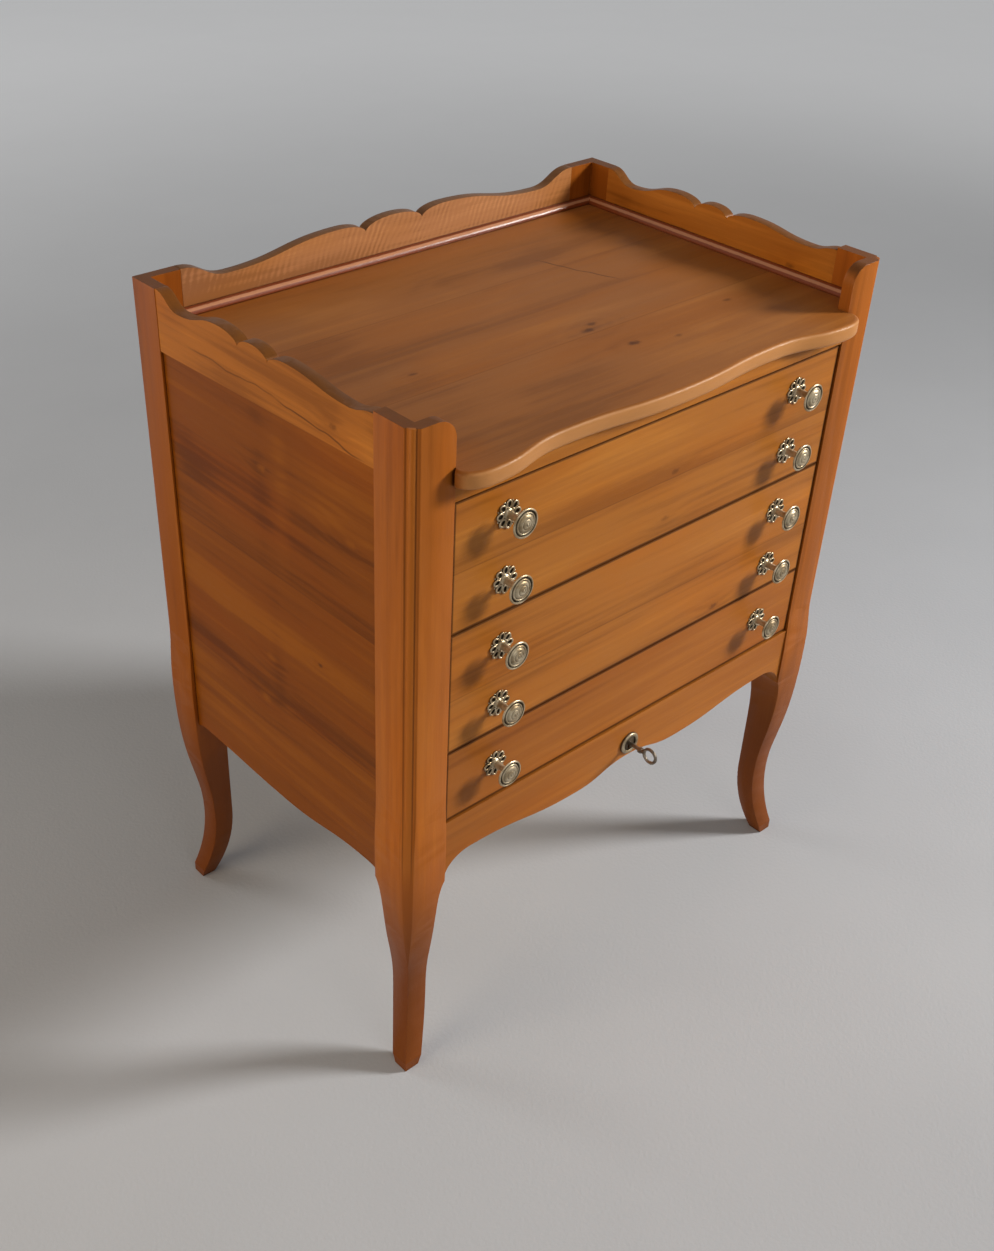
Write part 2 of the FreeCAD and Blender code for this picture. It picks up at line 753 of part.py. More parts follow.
# Case boards
back_gallery_rail = feature("back_gallery_blank", back_gallery_shape())
back_panel = node(
    board(
        "back_panel",
        both_ways("Places.back_post_in + Sizes.panel_tongue"),
        ("Places.back_panel_face", "Places.back_panel_rear"),
        (
            "Places.back_lower_rail_high - Sizes.panel_tongue",
            "Places.back_rail_low + Sizes.panel_tongue",
        ),
    )
)
node(cut("back_gallery_rail", back_gallery_rail, [back_panel]))
back_rail_rear = "Places.back_y - Sizes.rail_inset"
back_rail_face = f"{back_rail_rear} - Sizes.back_lower_rail_thickness"
back_rail_middle = f"{back_rail_rear} - Sizes.back_lower_rail_thickness / 2"
back_lower_board = board(
    "back_lower_board",
    both_ways("Places.back_post_in"),
    (back_rail_face, back_rail_rear),
    ("Places.back_lower_rail_low", "Places.back_lower_rail_high"),
)
back_lower_tenons = board(
    "back_lower_tenons",
    both_ways("Places.back_post_in + Sizes.tenon_length"),
    (f"{back_rail_middle} - Sizes.tenon_thickness / 2", f"{back_rail_middle} + Sizes.tenon_thickness / 2"),
    (
        "Places.back_lower_rail_low + Sizes.tenon_shoulder",
        "Places.back_lower_rail_high - Sizes.panel_tongue - Sizes.tenon_shoulder",
    ),
)
back_lower_blank = fuse("back_lower_blank", [back_lower_board, back_lower_tenons])
back_lower_rail = node(cut("back_lower_rail", back_lower_blank, [back_panel]))

top_rail_middle = "(Places.top_rail_face + Places.top_rail_rear) / 2"
top_rail_board = board(
    "top_rail_board",
    both_ways("Places.front_post_in"),
    ("Places.top_rail_face", "Places.top_rail_rear"),
    ("Places.top_rail_low", "Places.top_under"),
)
top_rail_tenons = board(
    "top_rail_tenons",
    both_ways("Places.front_post_in + Sizes.tenon_length"),
    (f"{top_rail_middle} - Sizes.tenon_thickness / 2", f"{top_rail_middle} + Sizes.tenon_thickness / 2"),
    ("Places.top_rail_low + Sizes.tenon_shoulder", "Places.top_under - Sizes.tenon_shoulder"),
)
top_front_rail = node(fuse("top_front_rail", [top_rail_board, top_rail_tenons]))

back_bead = node(feature("back_bead", back_bead_shape()))
side_rails = {}
side_panels = {}
for side in SIDES:
    side_rails[side] = node(feature(f"{side}_side_rail", sided(side_rail_shape(), side)))
    side_panels[side] = node(feature(f"{side}_side_panel", sided(side_panel_shape(), side)))
    bead_blank = feature(f"{side}_bead_blank", sided(side_bead_shape(), side))
    node(cut(f"{side}_bead", bead_blank, [back_bead]))

# Lock, with a flange behind the apron and a bolt that lifts out of its top
lock_body = board(
    "lock_body",
    both_ways("Sizes.lock_half_width"),
    ("Places.lock_front", "Places.apron_rear"),
    ("Places.lock_low", "Sizes.apron_top_height"),
)
lock_flange = board(
    "lock_flange_plate",
    both_ways("Sizes.lock_half_width + Sizes.lock_flange"),
    ("Places.apron_rear", "Places.apron_rear + Sizes.lock_flange_thickness"),
    ("Places.lock_low", "Sizes.apron_top_height"),
)
lock_cavity = board(
    "lock_cavity",
    both_ways("Sizes.lock_half_width - Sizes.lock_wall"),
    ("Places.cavity_front", "Places.apron_rear"),
    ("Places.lock_low + Sizes.lock_wall", "Sizes.apron_top_height - Sizes.lock_wall"),
)
bolt_half = "Sizes.bolt_thickness / 2"
bolt_slot = board(
    "bolt_slot",
    both_ways("Sizes.bolt_half_width + Sizes.bolt_clearance"),
    (
        f"Places.bolt_y - {bolt_half} - Sizes.bolt_clearance",
        f"Places.bolt_y + {bolt_half} + Sizes.bolt_clearance",
    ),
    ("Sizes.apron_top_height - Sizes.lock_wall", "Sizes.apron_top_height"),
)
key_way = rod(
    "key_way",
    "Sizes.key_shank_radius + Sizes.key_clearance",
    "0",
    ("Places.front_y - Sizes.escutcheon_thickness", "Places.cavity_front"),
    "Places.key_axis_height",
)
keyhole_slot = board(
    "keyhole_slot",
    both_ways("Sizes.keyhole_slot_width / 2"),
    ("Places.front_y - Sizes.escutcheon_thickness", "Places.cavity_front"),
    ("Places.key_axis_height - Sizes.keyhole_slot_length", "Places.key_axis_height"),
)
lock_screw_parts = []
for side in SIDES:
    for row, level in (
        ("low", "Places.lock_low + Sizes.lock_screw_inset"),
        ("high", "Sizes.apron_top_height - Sizes.lock_screw_inset"),
    ):
        across = f"{SIGN[side]}(Sizes.lock_half_width + Sizes.lock_flange / 2)"
        flange_rear = "Places.apron_rear + Sizes.lock_flange_thickness"
        stem = rod(
            f"lock_screw_stem_{side}_{row}",
            "Sizes.lock_screw_radius",
            across,
            (f"{flange_rear} - Sizes.lock_screw_length", flange_rear),
            level,
        )
        head = rod(
            f"lock_screw_head_{side}_{row}",
            "Sizes.lock_screw_head_radius",
            across,
            (flange_rear, f"{flange_rear} + Sizes.lock_screw_head"),
            level,
        )
        lock_screw_parts.append(fuse(f"lock_screw_{side}_{row}", [stem, head]))
lock_screws = node(group("lock_screws", lock_screw_parts))
lock_shell = fuse("lock_shell", [lock_body, lock_flange])
node(cut("lock_case", lock_shell, [lock_cavity, bolt_slot, key_way, keyhole_slot, *lock_screw_parts]))
node(
    board(
        "lock_bolt",
        both_ways("Sizes.bolt_half_width"),
        (f"Places.bolt_y - {bolt_half}", f"Places.bolt_y + {bolt_half}"),
        ("Places.bolt_low", "Sizes.apron_top_height"),
    )
)

# Escutcheon on the apron: a dished plate held by four pins
ESCUTCHEON_PINS = 4
pin_shapes = []
pin_offset = s.escutcheon_radius - s.escutcheon_rim_width / 2
pin_stem = s.escutcheon_pin_length + s.escutcheon_thickness
for step in range(ESCUTCHEON_PINS):
    turn = 2 * math.pi * (step + 0.5) / ESCUTCHEON_PINS
    across = pin_offset * math.cos(turn)
    level = s.key_axis_height + pin_offset * math.sin(turn)
    plate_front = Vector(across, s.front_y - s.escutcheon_thickness, level)
    stem = Part.makeCylinder(s.escutcheon_pin_radius, pin_stem, plate_front, Vector(0, 1, 0))
    head = Part.makeCylinder(
        s.escutcheon_pin_head_radius, s.escutcheon_pin_head, plate_front, Vector(0, -1, 0)
    )
    pin_shapes.append(stem.fuse(head))
escutcheon_pins = node(feature("escutcheon_pins", Part.makeCompound(pin_shapes)))
escutcheon_front = "Places.front_y - Sizes.escutcheon_thickness"
escutcheon_plate = rod(
    "escutcheon_plate",
    "Sizes.escutcheon_radius",
    "0",
    (escutcheon_front, "Places.front_y"),
    "Places.key_axis_height",
)
escutcheon_dish = rod(
    "escutcheon_dish",
    "Sizes.escutcheon_radius - Sizes.escutcheon_rim_width",
    "0",
    (escutcheon_front, f"{escutcheon_front} + Sizes.escutcheon_dish_depth"),
    "Places.key_axis_height",
)
node(cut("escutcheon", escutcheon_plate, [escutcheon_dish, key_way, keyhole_slot, escutcheon_pins]))

# Key: a ring bow, a collar, a shank and a bit
key_bow = doc.addObject("Part::Torus", "key_bow")
key_bow.Placement.Rotation = Rotation(Vector(0, 1, 0), 90)
key_bow.setExpression("Radius1", "Sizes.key_bow_radius")
key_bow.setExpression("Radius2", "Sizes.key_wire_radius")
key_bow.setExpression(".Placement.Base.y", "Places.key_bow_y")
key_bow.setExpression(".Placement.Base.z", "Places.key_axis_height")
shank_start = "Places.key_bow_y + Sizes.key_bow_radius"
key_shank = rod(
    "key_shank", "Sizes.key_shank_radius", "0", (shank_start, "Places.key_end"), "Places.key_axis_height"
)
collar_start = f"{shank_start} + Sizes.key_collar_gap"
key_collar = rod(
    "key_collar",
    "Sizes.key_collar_radius",
    "0",
    (collar_start, f"{collar_start} + Sizes.key_collar_length"),
    "Places.key_axis_height",
)
key_bit = board(
    "key_bit",
    both_ways("Sizes.key_bit_thickness / 2"),
    ("Places.bolt_y - Sizes.key_bit_length / 2", "Places.bolt_y + Sizes.key_bit_length / 2"),
    ("Places.key_axis_height - Sizes.key_bit_radius", "Places.key_axis_height"),
)
node(fuse("key", [key_bow, key_shank, key_collar, key_bit]))

# Apron with tenons and room for the lock
apron_middle = "Places.front_y + Sizes.apron_thickness / 2"
apron_board = feature("apron_board", apron_shape())
apron_tenon_parts = []
for side in SIDES:
    apron_tenon_parts.append(
        board(
            f"apron_tenon_{side}",
            span("Places.front_post_in", "Places.front_post_in + Sizes.tenon_length", side),
            (f"{apron_middle} - Sizes.tenon_thickness / 2", f"{apron_middle} + Sizes.tenon_thickness / 2"),
            (
                "Places.front_leg_spring + Sizes.leg_throat_drop",
                "Sizes.apron_top_height - Sizes.leg_throat_drop",
            ),
        )
    )
apron_blank = fuse("apron_blank", [apron_board, *apron_tenon_parts])
front_apron = node(
    cut("front_apron", apron_blank, [lock_body, key_way, keyhole_slot, escutcheon_pins, *lock_screw_parts])
)

# Posts, with room for everything that is let into them
for side in SIDES:
    front_blank = feature(f"front_{side}_post_blank", sided(front_post_shape(), side))
    node(
        cut(
            f"front_{side}_post",
            front_blank,
            [side_rails[side], side_panels[side], front_apron, top_front_rail],
        )
    )
    back_blank = feature(f"back_{side}_post_blank", sided(back_post_shape(), side))
    node(
        cut(
            f"back_{side}_post",
            back_blank,
            [side_rails[side], side_panels[side], back_gallery_rail, back_panel, back_lower_rail],
        )
    )

# Kickers under the top, each held by two screws
kicker_screw_parts = []
kicker_blanks = {}
for side in SIDES:
    kicker_blanks[side] = board(
        f"{side}_kicker_blank",
        span("Places.kicker_in", "Places.guide_face", side),
        ("Places.fittings_front", "Places.drawer_rear"),
        ("Places.kicker_low", "Places.top_under"),
    )
    for end, place_y in (
        ("front", "Places.fittings_front + Sizes.kicker_screw_margin"),
        ("back", "Places.drawer_rear - Sizes.kicker_screw_margin"),
    ):
        screw = doc.addObject("Part::Cylinder", f"kicker_screw_{side}_{end}")
        screw.setExpression("Radius", "Sizes.kicker_screw_radius")
        screw.setExpression("Height", "Places.top_under + Sizes.kicker_screw_bite - Places.kicker_low")
        screw.setExpression(".Placement.Base.x", f"{SIGN[side]}(Places.kicker_in + Places.guide_face) / 2")
        screw.setExpression(".Placement.Base.y", place_y)
        screw.setExpression(".Placement.Base.z", "Places.kicker_low")
        kicker_screw_parts.append(screw)
kicker_screws = node(group("kicker_screws", kicker_screw_parts))
for side in SIDES:
    node(cut(f"{side}_kicker", kicker_blanks[side], kicker_screw_parts))
top_blank = feature("top_blank", top_board_shape())
node(cut("top_board", top_blank, kicker_screw_parts))

# Runners: a guide beside the drawer and a shelf under its side; stops behind the drawer
stop_parts = []
for number in (1, 2, 3):
    shelf_high = f"Places.shelf_{number}_high"
    shelf_low = f"{shelf_high} - Sizes.runner_shelf_thickness"
    for side in SIDES:
        guide = board(
            f"{side}_guide_{number}",
            span("Places.guide_face", "Places.panel_in", side),
            ("Places.front_post_rear", "Places.back_post_face"),
            (shelf_low, f"{shelf_high} + Sizes.guide_rise"),
        )
        shelf = board(
            f"{side}_shelf_{number}",
            span("Places.shelf_in", "Places.guide_face", side),
            ("Places.fittings_front", "Places.back_panel_face"),
            (shelf_low, shelf_high),
        )
        node(fuse(f"{side}_runner_{number}", [guide, shelf]))
        stop_front = "Places.drawer_rear + Sizes.stop_gap"
        stop_parts.append(
            board(
                f"{side}_stop_{number}",
                span("Places.shelf_in", "Places.guide_face", side),
                (stop_front, f"{stop_front} + Sizes.stop_length"),
                (shelf_high, f"{shelf_high} + Sizes.stop_height"),
            )
        )
node(group("drawer_stops", stop_parts))

# Drawers
KNOB_ROWS = {1: ("low", "high"), 2: ("low", "high"), 3: ("low",)}
rosette = rosette_shape()
knob = knob_shape()
nut = nut_shape()

bolt_room = board(
    "bolt_room",
    both_ways("Sizes.bolt_half_width + Sizes.bolt_room_clearance"),
    (
        f"Places.bolt_y - {bolt_half} - Sizes.bolt_room_clearance",
        f"Places.bolt_y + {bolt_half} + Sizes.bolt_room_clearance",
    ),
    ("Places.drawer_3_low", "Sizes.apron_top_height + Sizes.bolt_throw + Sizes.bolt_room_clearance"),
)


def at_knobs(shape, number):
    """Copies of a shape at every knob of a drawer."""
    lowest = getattr(s, f"bottom_{number}_high") + s.knob_nut_radius
    copies = []
    for row in KNOB_ROWS[number]:
        level = lowest + getattr(s, f"drawer_{number}_knob_{row}")
        for across in (-s.knob_offset, s.knob_offset):
            copies.append(shape.translated(Vector(across, s.front_face, level)))
    return Part.makeCompound(copies)


for number in (1, 2, 3):
    name = f"drawer_{number}"
    bottom = node(
        board(
            f"{name}_bottom",
            both_ways("Places.drawer_side_in + Sizes.drawer_groove"),
            ("Places.front_inner - Sizes.drawer_groove", "Places.drawer_rear"),
            (f"Places.bottom_{number}_low", f"Places.bottom_{number}_high"),
        )
    )
    back = node(
        board(
            f"{name}_back",
            both_ways("Places.drawer_side_in + Sizes.drawer_groove"),
            ("Places.drawer_back_face", "Places.drawer_back_rear"),
            (f"Places.bottom_{number}_high", f"Places.side_{number}_high - Sizes.drawer_back_drop"),
        )
    )
    side_shape = drawer_side_shape(getattr(s, f"side_{number}_low"), getattr(s, f"side_{number}_high"))
    drawer_sides = []
    for side in SIDES:
        side_blank = feature(f"{name}_{side}_side_blank", sided(side_shape, side))
        drawer_sides.append(node(cut(f"{name}_{side}_side", side_blank, [bottom, back])))
    node(feature(f"{name}_rosettes", at_knobs(rosette, number)))
    knobs = node(feature(f"{name}_knobs", at_knobs(knob, number)))
    node(feature(f"{name}_knob_nuts", at_knobs(nut, number)))
    front_blank = board(
        f"{name}_front_blank",
        both_ways("Places.drawer_side_out"),
        ("Places.front_face", "Places.front_inner"),
        (f"Places.drawer_{number}_low", f"Places.drawer_{number}_high"),
    )
    let_in = [*drawer_sides, bottom, knobs]
    if number == 3:
        let_in.append(bolt_room)
    node(cut(f"{name}_front", front_blank, let_in))

doc.recompute()

for obj in doc.Objects:
    if "Invalid" in obj.State or "Error" in obj.State:
        raise RuntimeError(f"{obj.Label} could not be built")
for obj in nodes:
    if obj.Shape.isNull() or not obj.Shape.isValid():
        raise RuntimeError(f"{obj.Label} has no sound shape")

os.makedirs("parts", exist_ok=True)
for obj in nodes:
    obj.Shape.exportStep(f"parts/{obj.Label}.step")
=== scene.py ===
import math

import bmesh
import bpy
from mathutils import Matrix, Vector


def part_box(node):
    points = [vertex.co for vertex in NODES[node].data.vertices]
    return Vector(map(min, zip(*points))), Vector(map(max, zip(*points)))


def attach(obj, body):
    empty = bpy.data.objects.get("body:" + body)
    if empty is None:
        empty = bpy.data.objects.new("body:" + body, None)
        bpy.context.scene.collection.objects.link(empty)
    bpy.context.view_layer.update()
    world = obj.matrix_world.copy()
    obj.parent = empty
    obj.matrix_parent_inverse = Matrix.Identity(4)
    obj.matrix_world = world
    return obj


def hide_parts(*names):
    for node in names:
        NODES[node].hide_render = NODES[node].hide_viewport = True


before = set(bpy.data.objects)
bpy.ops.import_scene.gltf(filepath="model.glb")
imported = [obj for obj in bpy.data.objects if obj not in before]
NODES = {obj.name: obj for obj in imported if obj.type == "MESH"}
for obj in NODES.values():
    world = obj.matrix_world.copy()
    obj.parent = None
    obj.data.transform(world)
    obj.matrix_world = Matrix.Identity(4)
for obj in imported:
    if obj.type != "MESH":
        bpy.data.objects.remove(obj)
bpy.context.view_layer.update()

LEVELS = (1, 2, 3)
SIDES = ("left", "right")
MM = 0.001
FULL_TURN = 2 * math.pi
SLANT = math.sqrt(0.5)


# Colours are written as seen on a screen, 0 to 255, and turned into linear light
def tint(red, green, blue):
    linear = []
    for value in (red, green, blue):
        share = value / 255
        linear.append(share / 12.92 if share <= 0.04045 else ((share + 0.055) / 1.055) ** 2.4)
    return (*linear, 1.0)


# Camera, placed where the photograph was taken
IMAGE_WIDTH, IMAGE_HEIGHT = 994, 1251
SENSOR = 36.0
FOCAL_PIXELS = 1465.35
AXIS_PIXEL = (455.56, 681.05)
CAMERA_PLACE = (-0.9903, -0.9885, 1.3052)
CAMERA_TURN = (53.664, -1.528, -41.311)


def place_camera():
    lens = bpy.data.cameras.new("camera")
    lens.sensor_width = SENSOR
    lens.lens = SENSOR * FOCAL_PIXELS / IMAGE_HEIGHT
    lens.shift_x = (IMAGE_WIDTH / 2 - AXIS_PIXEL[0]) / IMAGE_HEIGHT
    lens.shift_y = (AXIS_PIXEL[1] - IMAGE_HEIGHT / 2) / IMAGE_HEIGHT
    camera = bpy.data.objects.new("camera", lens)
    camera.location = CAMERA_PLACE
    camera.rotation_euler = [math.radians(turn) for turn in CAMERA_TURN]
    bpy.context.scene.collection.objects.link(camera)
    bpy.context.scene.camera = camera


FILM = "film"
BUMP_STRENGTH = 0.6


# Node graph of one material: most methods add a node and give back its result
class Graph:
    def __init__(self, name):
        self.material = bpy.data.materials.new(name)
        self.material.use_nodes = True
        self.tree = self.material.node_tree
        self.shader = self.tree.nodes["Principled BSDF"]
        self.place = self.node("TexCoord", {}).outputs["Object"]

    def node(self, kind, inputs, **settings):
        made = self.tree.nodes.new("ShaderNode" + kind)
        for key, value in settings.items():
            setattr(made, key, value)
        for key, value in inputs.items():
            self.feed(made.inputs[key], value)
        return made

    def feed(self, socket, value):
        if isinstance(value, bpy.types.NodeSocket):
            self.tree.links.new(value, socket)
        else:
            socket.default_value = value

    def math(self, operation, first, second=0.0, third=0.0):
        return self.node("Math", {0: first, 1: second, 2: third}, operation=operation).outputs[0]

    # value times factor plus rest
    def scaled(self, value, factor, rest=0.0):
        return self.math("MULTIPLY_ADD", value, factor, rest)

    # A value between 0 and 1, centred on nought and weighed
    def centred(self, value, weight):
        return self.scaled(value, weight, -weight / 2)

    def total(self, *values):
        result = values[0]
        for value in values[1:]:
            result = self.math("ADD", result, value)
        return result

    def mix(self, share, first, second, blend="MIX"):
        made = self.node("Mix", {0: share, 6: first, 7: second}, data_type="RGBA", blend_type=blend)
        return made.outputs[2]

    def noise(self, where, detail=2.0, roughness=0.5, scale=1.0):
        inputs = {"Vector": where, "Scale": scale, "Detail": detail, "Roughness": roughness}
        return self.node("TexNoise", inputs).outputs[0]

    # Smooth passage from bottom to top while the value goes from low to high
    def passage(self, value, low, high, bottom=0.0, top=1.0):
        inputs = {"Value": value, "From Min": low, "From Max": high, "To Min": bottom, "To Max": top}
        return self.node("MapRange", inputs, interpolation_type="SMOOTHSTEP").outputs[0]

    # How closed in a point is within reach, by ambient occlusion: 0 in the open, 1 deep in a crack;
    # colour darkened by it is painted shade
    def crevice(self, reach):
        air = self.node("AmbientOcclusion", {"Distance": reach}, samples=6).outputs["AO"]
        return self.passage(air, 0.75, 0.15)

    # Share of dark film, or of dust below nought, that a turned piece carries at its corners
    def drawn_film(self):
        return self.node("Attribute", {}, attribute_name=FILM).outputs["Fac"]

    # Sets the shader's inputs and a bump of this depth, and gives back the material
    def finish(self, height, depth, **inputs):
        bump = self.node("Bump", {"Height": height, "Distance": depth, "Strength": BUMP_STRENGTH})
        self.feed(self.shader.inputs["Normal"], bump.outputs[0])
        for key, value in inputs.items():
            self.feed(self.shader.inputs[key.replace("_", " ")], value)
        return self.material


# Wood
KNOT_BROWN = tint(66, 30, 10)
# Dark brown of cracks and glue lines, also the colour of the painted shade in crevices and gaps
CRACK_BROWN = tint(48, 20, 6)
# Brown towards which a leg darkens, partly a darker finish and partly painted shade
SMOKE_BROWN = tint(116, 58, 16)
GOLDEN = (1.04, 0.92, 0.55, 1.0)
RING_SPACING = 0.0085
RIPPLE_SPACING = 0.0072
RIPPLE_LEAN = -0.45
KNOT_STRETCH = 0.55
REED_HALF_WIDTH = 0.0045
CHAMFER_HALF_WIDTH = 0.00707
REED_REACH = 0.018
REED_FOOT, REED_START = 0.27, 0.33
PITH = (0.0, 0.09)

# Figures of the wood: changes per metre along and across the grain, detail and roughness
BROAD_FIGURE = (2.2, 8.0, 2.0, 0.5)
BAND_FIGURE = (2.4, 34.0, 3.0, 0.5)
STREAK_FIGURE = (3.5, 130.0, 4.0, 0.6)
FIBRE_FIGURE = (40.0, 1100.0, 3.0, 0.6)
PORE_FIGURE = (90.0, 1800.0, 2.0, 0.5)
GLOW_FIGURE = (4.8, 14.4, 2.0, 0.5)
WANDER_FIGURE = (2.6, 9.0, 2.0, 0.5)
BEND_FIGURE = (9.0, 16.0, 3.0, 0.5)
RIPPLE_FIGURE = (30.0, 12.0, 3.0, 0.5)

# How much each layer weighs in the tone, and the tone at which the lightest or darkest is reached
BROAD_WEIGHT = 1.4
BAND_WEIGHT = 1.4
STREAK_WEIGHT = 0.9
FIBRE_WEIGHT = 0.35
RING_WEIGHT = 0.05
TONE_REACH = 0.5

# Largest share of each colour that lies over the wood
GLOW_SHARE = 0.7
FRONT_SHARE = 0.75
TOP_SHARE = 0.7
RIDGE_SHARE = 0.7
SMOKE_SHARE = 0.85
PORE_SHARE = 0.2
GLUE_SHARE = 0.3
BEAD_SHARE = 0.8
GRIME_SHARE = 0.75

# Reach of the ambient occlusion that darkens the wood as painted shade
WOOD_GRIME_REACH = 8 * MM
WOOD_BUMP = 0.2 * MM
WOOD_SHINE = 0.13
PLAIN_GLOSS = 0.04
GLOSS_ROUGHNESS = 0.22


# Dark, middle and light tone of a wood
def tones(red, green, blue, spread):
    middle = tint(red, green, blue)[:3]
    dark = [value * (1 - spread * pull) for value, pull in zip(middle, (1.0, 1.1, 1.25))]
    light = [value * (1 + spread * pull) for value, pull in zip(middle, (0.8, 1.1, 1.3))]
    return [(*tone, 1.0) for tone in (dark, middle, light)]


# A piece of wood; its axes are its length, width and thickness
class Board(Graph):
    def __init__(self, name, axes, seed):
        super().__init__(name)
        parts = self.node("SeparateXYZ", {0: self.place}).outputs
        self.length, self.width, self.thickness = (parts["xyz".index(axis)] for axis in axes)
        self.seed = seed
        self.run = self.length
        self.board_tone = 0.0
        self.glue_line = 0.0
        self.knot_core = 0.0
        self.knot_eye = 0.0
        self.knot_push = 0.0
        self.cracks = 0.0

    # Distance from a point of the board, counted in reaches along it and rises across it
    def away_from(self, along, across, reach, rise):
        run = self.scaled(self.length, 1 / reach, -along / reach)
        lift = self.scaled(self.width, 1 / rise, -across / rise)
        squares = self.math("MULTIPLY_ADD", run, run, self.math("MULTIPLY", lift, lift))
        return self.math("SQRT", squares)

    # Boards glued side by side: a seam shifts the grain, and the tone just beyond it fades again
    def seam(self, place, change, fade=0.06):
        beyond = self.math("GREATER_THAN", self.width, place)
        self.run = self.scaled(beyond, 0.83 + 10 * place, self.run)
        above = self.passage(self.width, place + fade, place, 0.0, change)
        self.board_tone = self.math("MULTIPLY_ADD", beyond, above, self.board_tone)
        off_line = self.math("ABSOLUTE", self.scaled(self.width, 1.0, -place))
        self.glue_line = self.math("MAXIMUM", self.passage(off_line, 0.0010, 0.0002), self.glue_line)

    # A knot pushes the rings aside; its core is dark, or light where the darkness is below nought
    def knot(self, along, across, radius, darkness):
        away = self.away_from(along, across, radius / KNOT_STRETCH, radius)
        ragged = self.scaled(self.noise(self.place, scale=300.0), 0.9, away)
        core = self.passage(ragged, 1.5, 0.6, 0.0, abs(darkness))
        if darkness > 0:
            self.knot_core = self.math("MAXIMUM", core, self.knot_core)
        else:
            self.knot_eye = self.math("MAXIMUM", core, self.knot_eye)
        self.knot_push = self.math("ADD", self.passage(away, 6.0, 0.0, 0.0, 2 * radius), self.knot_push)
        shade = self.passage(away, 4.0, 1.0, 0.0, -0.08)
        self.board_tone = self.math("ADD", shade, self.board_tone)

    # A soft patch of another tone with an uneven rim
    def patch(self, along, across, reach, rise, change):
        away = self.away_from(along, across, reach, rise)
        uneven = self.scaled(self.noise(self.place, scale=25.0), 0.9, away)
        self.board_tone = self.math("ADD", self.passage(uneven, 1.9, 0.5, 0.0, change), self.board_tone)

    # A thin wavering crack from one point to another, each as length and width
    def crack(self, start, end, depth):
        run, rise = end[0] - start[0], end[1] - start[1]
        reach = math.hypot(run, rise)
        run, rise = run / reach, rise / reach
        along = self.scaled(self.length, run, -start[0] * run - start[1] * rise)
        along = self.scaled(self.width, rise, along)
        aside = self.scaled(self.length, -rise, start[0] * rise - start[1] * run)
        aside = self.scaled(self.width, run, aside)
        waver = self.centred(self.noise(self.place, scale=22.0), 0.012)
        aside = self.math("ADD", aside, waver)
        line = self.passage(self.math("ABSOLUTE", aside), 0.0014, 0.0003, 0.0, depth)
        begun = self.passage(along, 0.0, 0.2 * reach)
        ended = self.passage(along, reach, 0.8 * reach)
        line = self.math("MULTIPLY", line, self.math("MULTIPLY", begun, ended))
        self.cracks = self.math("MAXIMUM", line, self.cracks)

    # Places in the wood, which differ from board to board
    def grain(self):
        where = self.node("CombineXYZ", {0: self.run, 1: self.width, 2: self.thickness}).outputs[0]
        offset = (1.7 * self.seed, 0.9 * self.seed, 0.4 * self.seed)
        return self.node("VectorMath", {0: where, 1: offset}, operation="ADD").outputs[0]

    # Uneven figure that is drawn out along the grain
    def figure(self, grain, along, across, detail, roughness):
        factors = (along, across, across)
        where = self.node("VectorMath", {0: grain, 1: factors}, operation="MULTIPLY").outputs[0]
        return self.noise(where, detail, roughness)

    # Growth rings round a pith that lies off the board and wanders along it
    def rings(self, grain, pith_across, pith_below):
        wander = self.centred(self.figure(grain, *WANDER_FIGURE), 0.07)
        across = self.total(self.width, -pith_across, wander)
        below = self.total(self.thickness, -pith_below, wander)
        squares = self.math("MULTIPLY_ADD", across, across, self.math("MULTIPLY", below, below))
        radius = self.math("ADD", self.math("SQRT", squares), self.knot_push)
        return self.math("SINE", self.math("MULTIPLY", radius, FULL_TURN / RING_SPACING))

    # Curly figure: bands that lean across the board, now strong and now faint
    def ripple(self, grain):
        leaning = self.scaled(self.width, RIPPLE_LEAN, self.length)
        bent = self.scaled(self.figure(grain, *BEND_FIGURE), 0.03, leaning)
        bands = self.math("SINE", self.scaled(bent, FULL_TURN / RIPPLE_SPACING))
        strength = self.passage(self.figure(grain, *RIPPLE_FIGURE), 0.3, 0.7, 0.15, 1.0)
        return self.math("MULTIPLY", bands, strength)

    # Painted shade in lines along the grooves on both sides of the bead on a post's chamfered corner and
    # along the chamfer's edges, and a painted highlight on the bead between them
    def reed(self, corner_x, corner_y):
        parts = self.node("SeparateXYZ", {0: self.place}).outputs
        inward = self.scaled(self.math("ABSOLUTE", parts["X"]), -1.0, corner_x)
        backward = self.scaled(parts["Y"], 1.0, -corner_y)
        aside = self.scaled(self.math("SUBTRACT", inward, backward), SLANT)
        aside = self.math("ABSOLUTE", aside)
        near = self.passage(self.math("ADD", inward, backward), REED_REACH, REED_REACH - 4 * MM)
        near = self.math("MULTIPLY", near, self.passage(parts["Z"], REED_FOOT, REED_START))
        off_groove = self.math("ABSOLUTE", self.scaled(aside, 1.0, -REED_HALF_WIDTH))
        groove = self.passage(off_groove, 0.0011, 0.0003, 0.0, 0.5)
        off_edge = self.math("ABSOLUTE", self.scaled(aside, 1.0, -CHAMFER_HALF_WIDTH))
        edge = self.passage(off_edge, 0.0009, 0.0003, 0.0, 0.25)
        grooves = self.math("MULTIPLY", self.math("MAXIMUM", groove, edge), near)
        return grooves, self.math("MULTIPLY", self.passage(aside, 0.0042, 0.0032), near)

    # Painted shade along the rim of a board that stands in a dark gap between two corners
    def rim_dirt(self, low, high):
        inside = 1.0
        for run, start, end in zip((self.length, self.width), low, high):
            inside = self.math("MINIMUM", self.scaled(run, 1.0, -start), inside)
            inside = self.math("MINIMUM", self.scaled(run, -1.0, end), inside)
        return self.passage(inside, 0.0024, 0.0008)
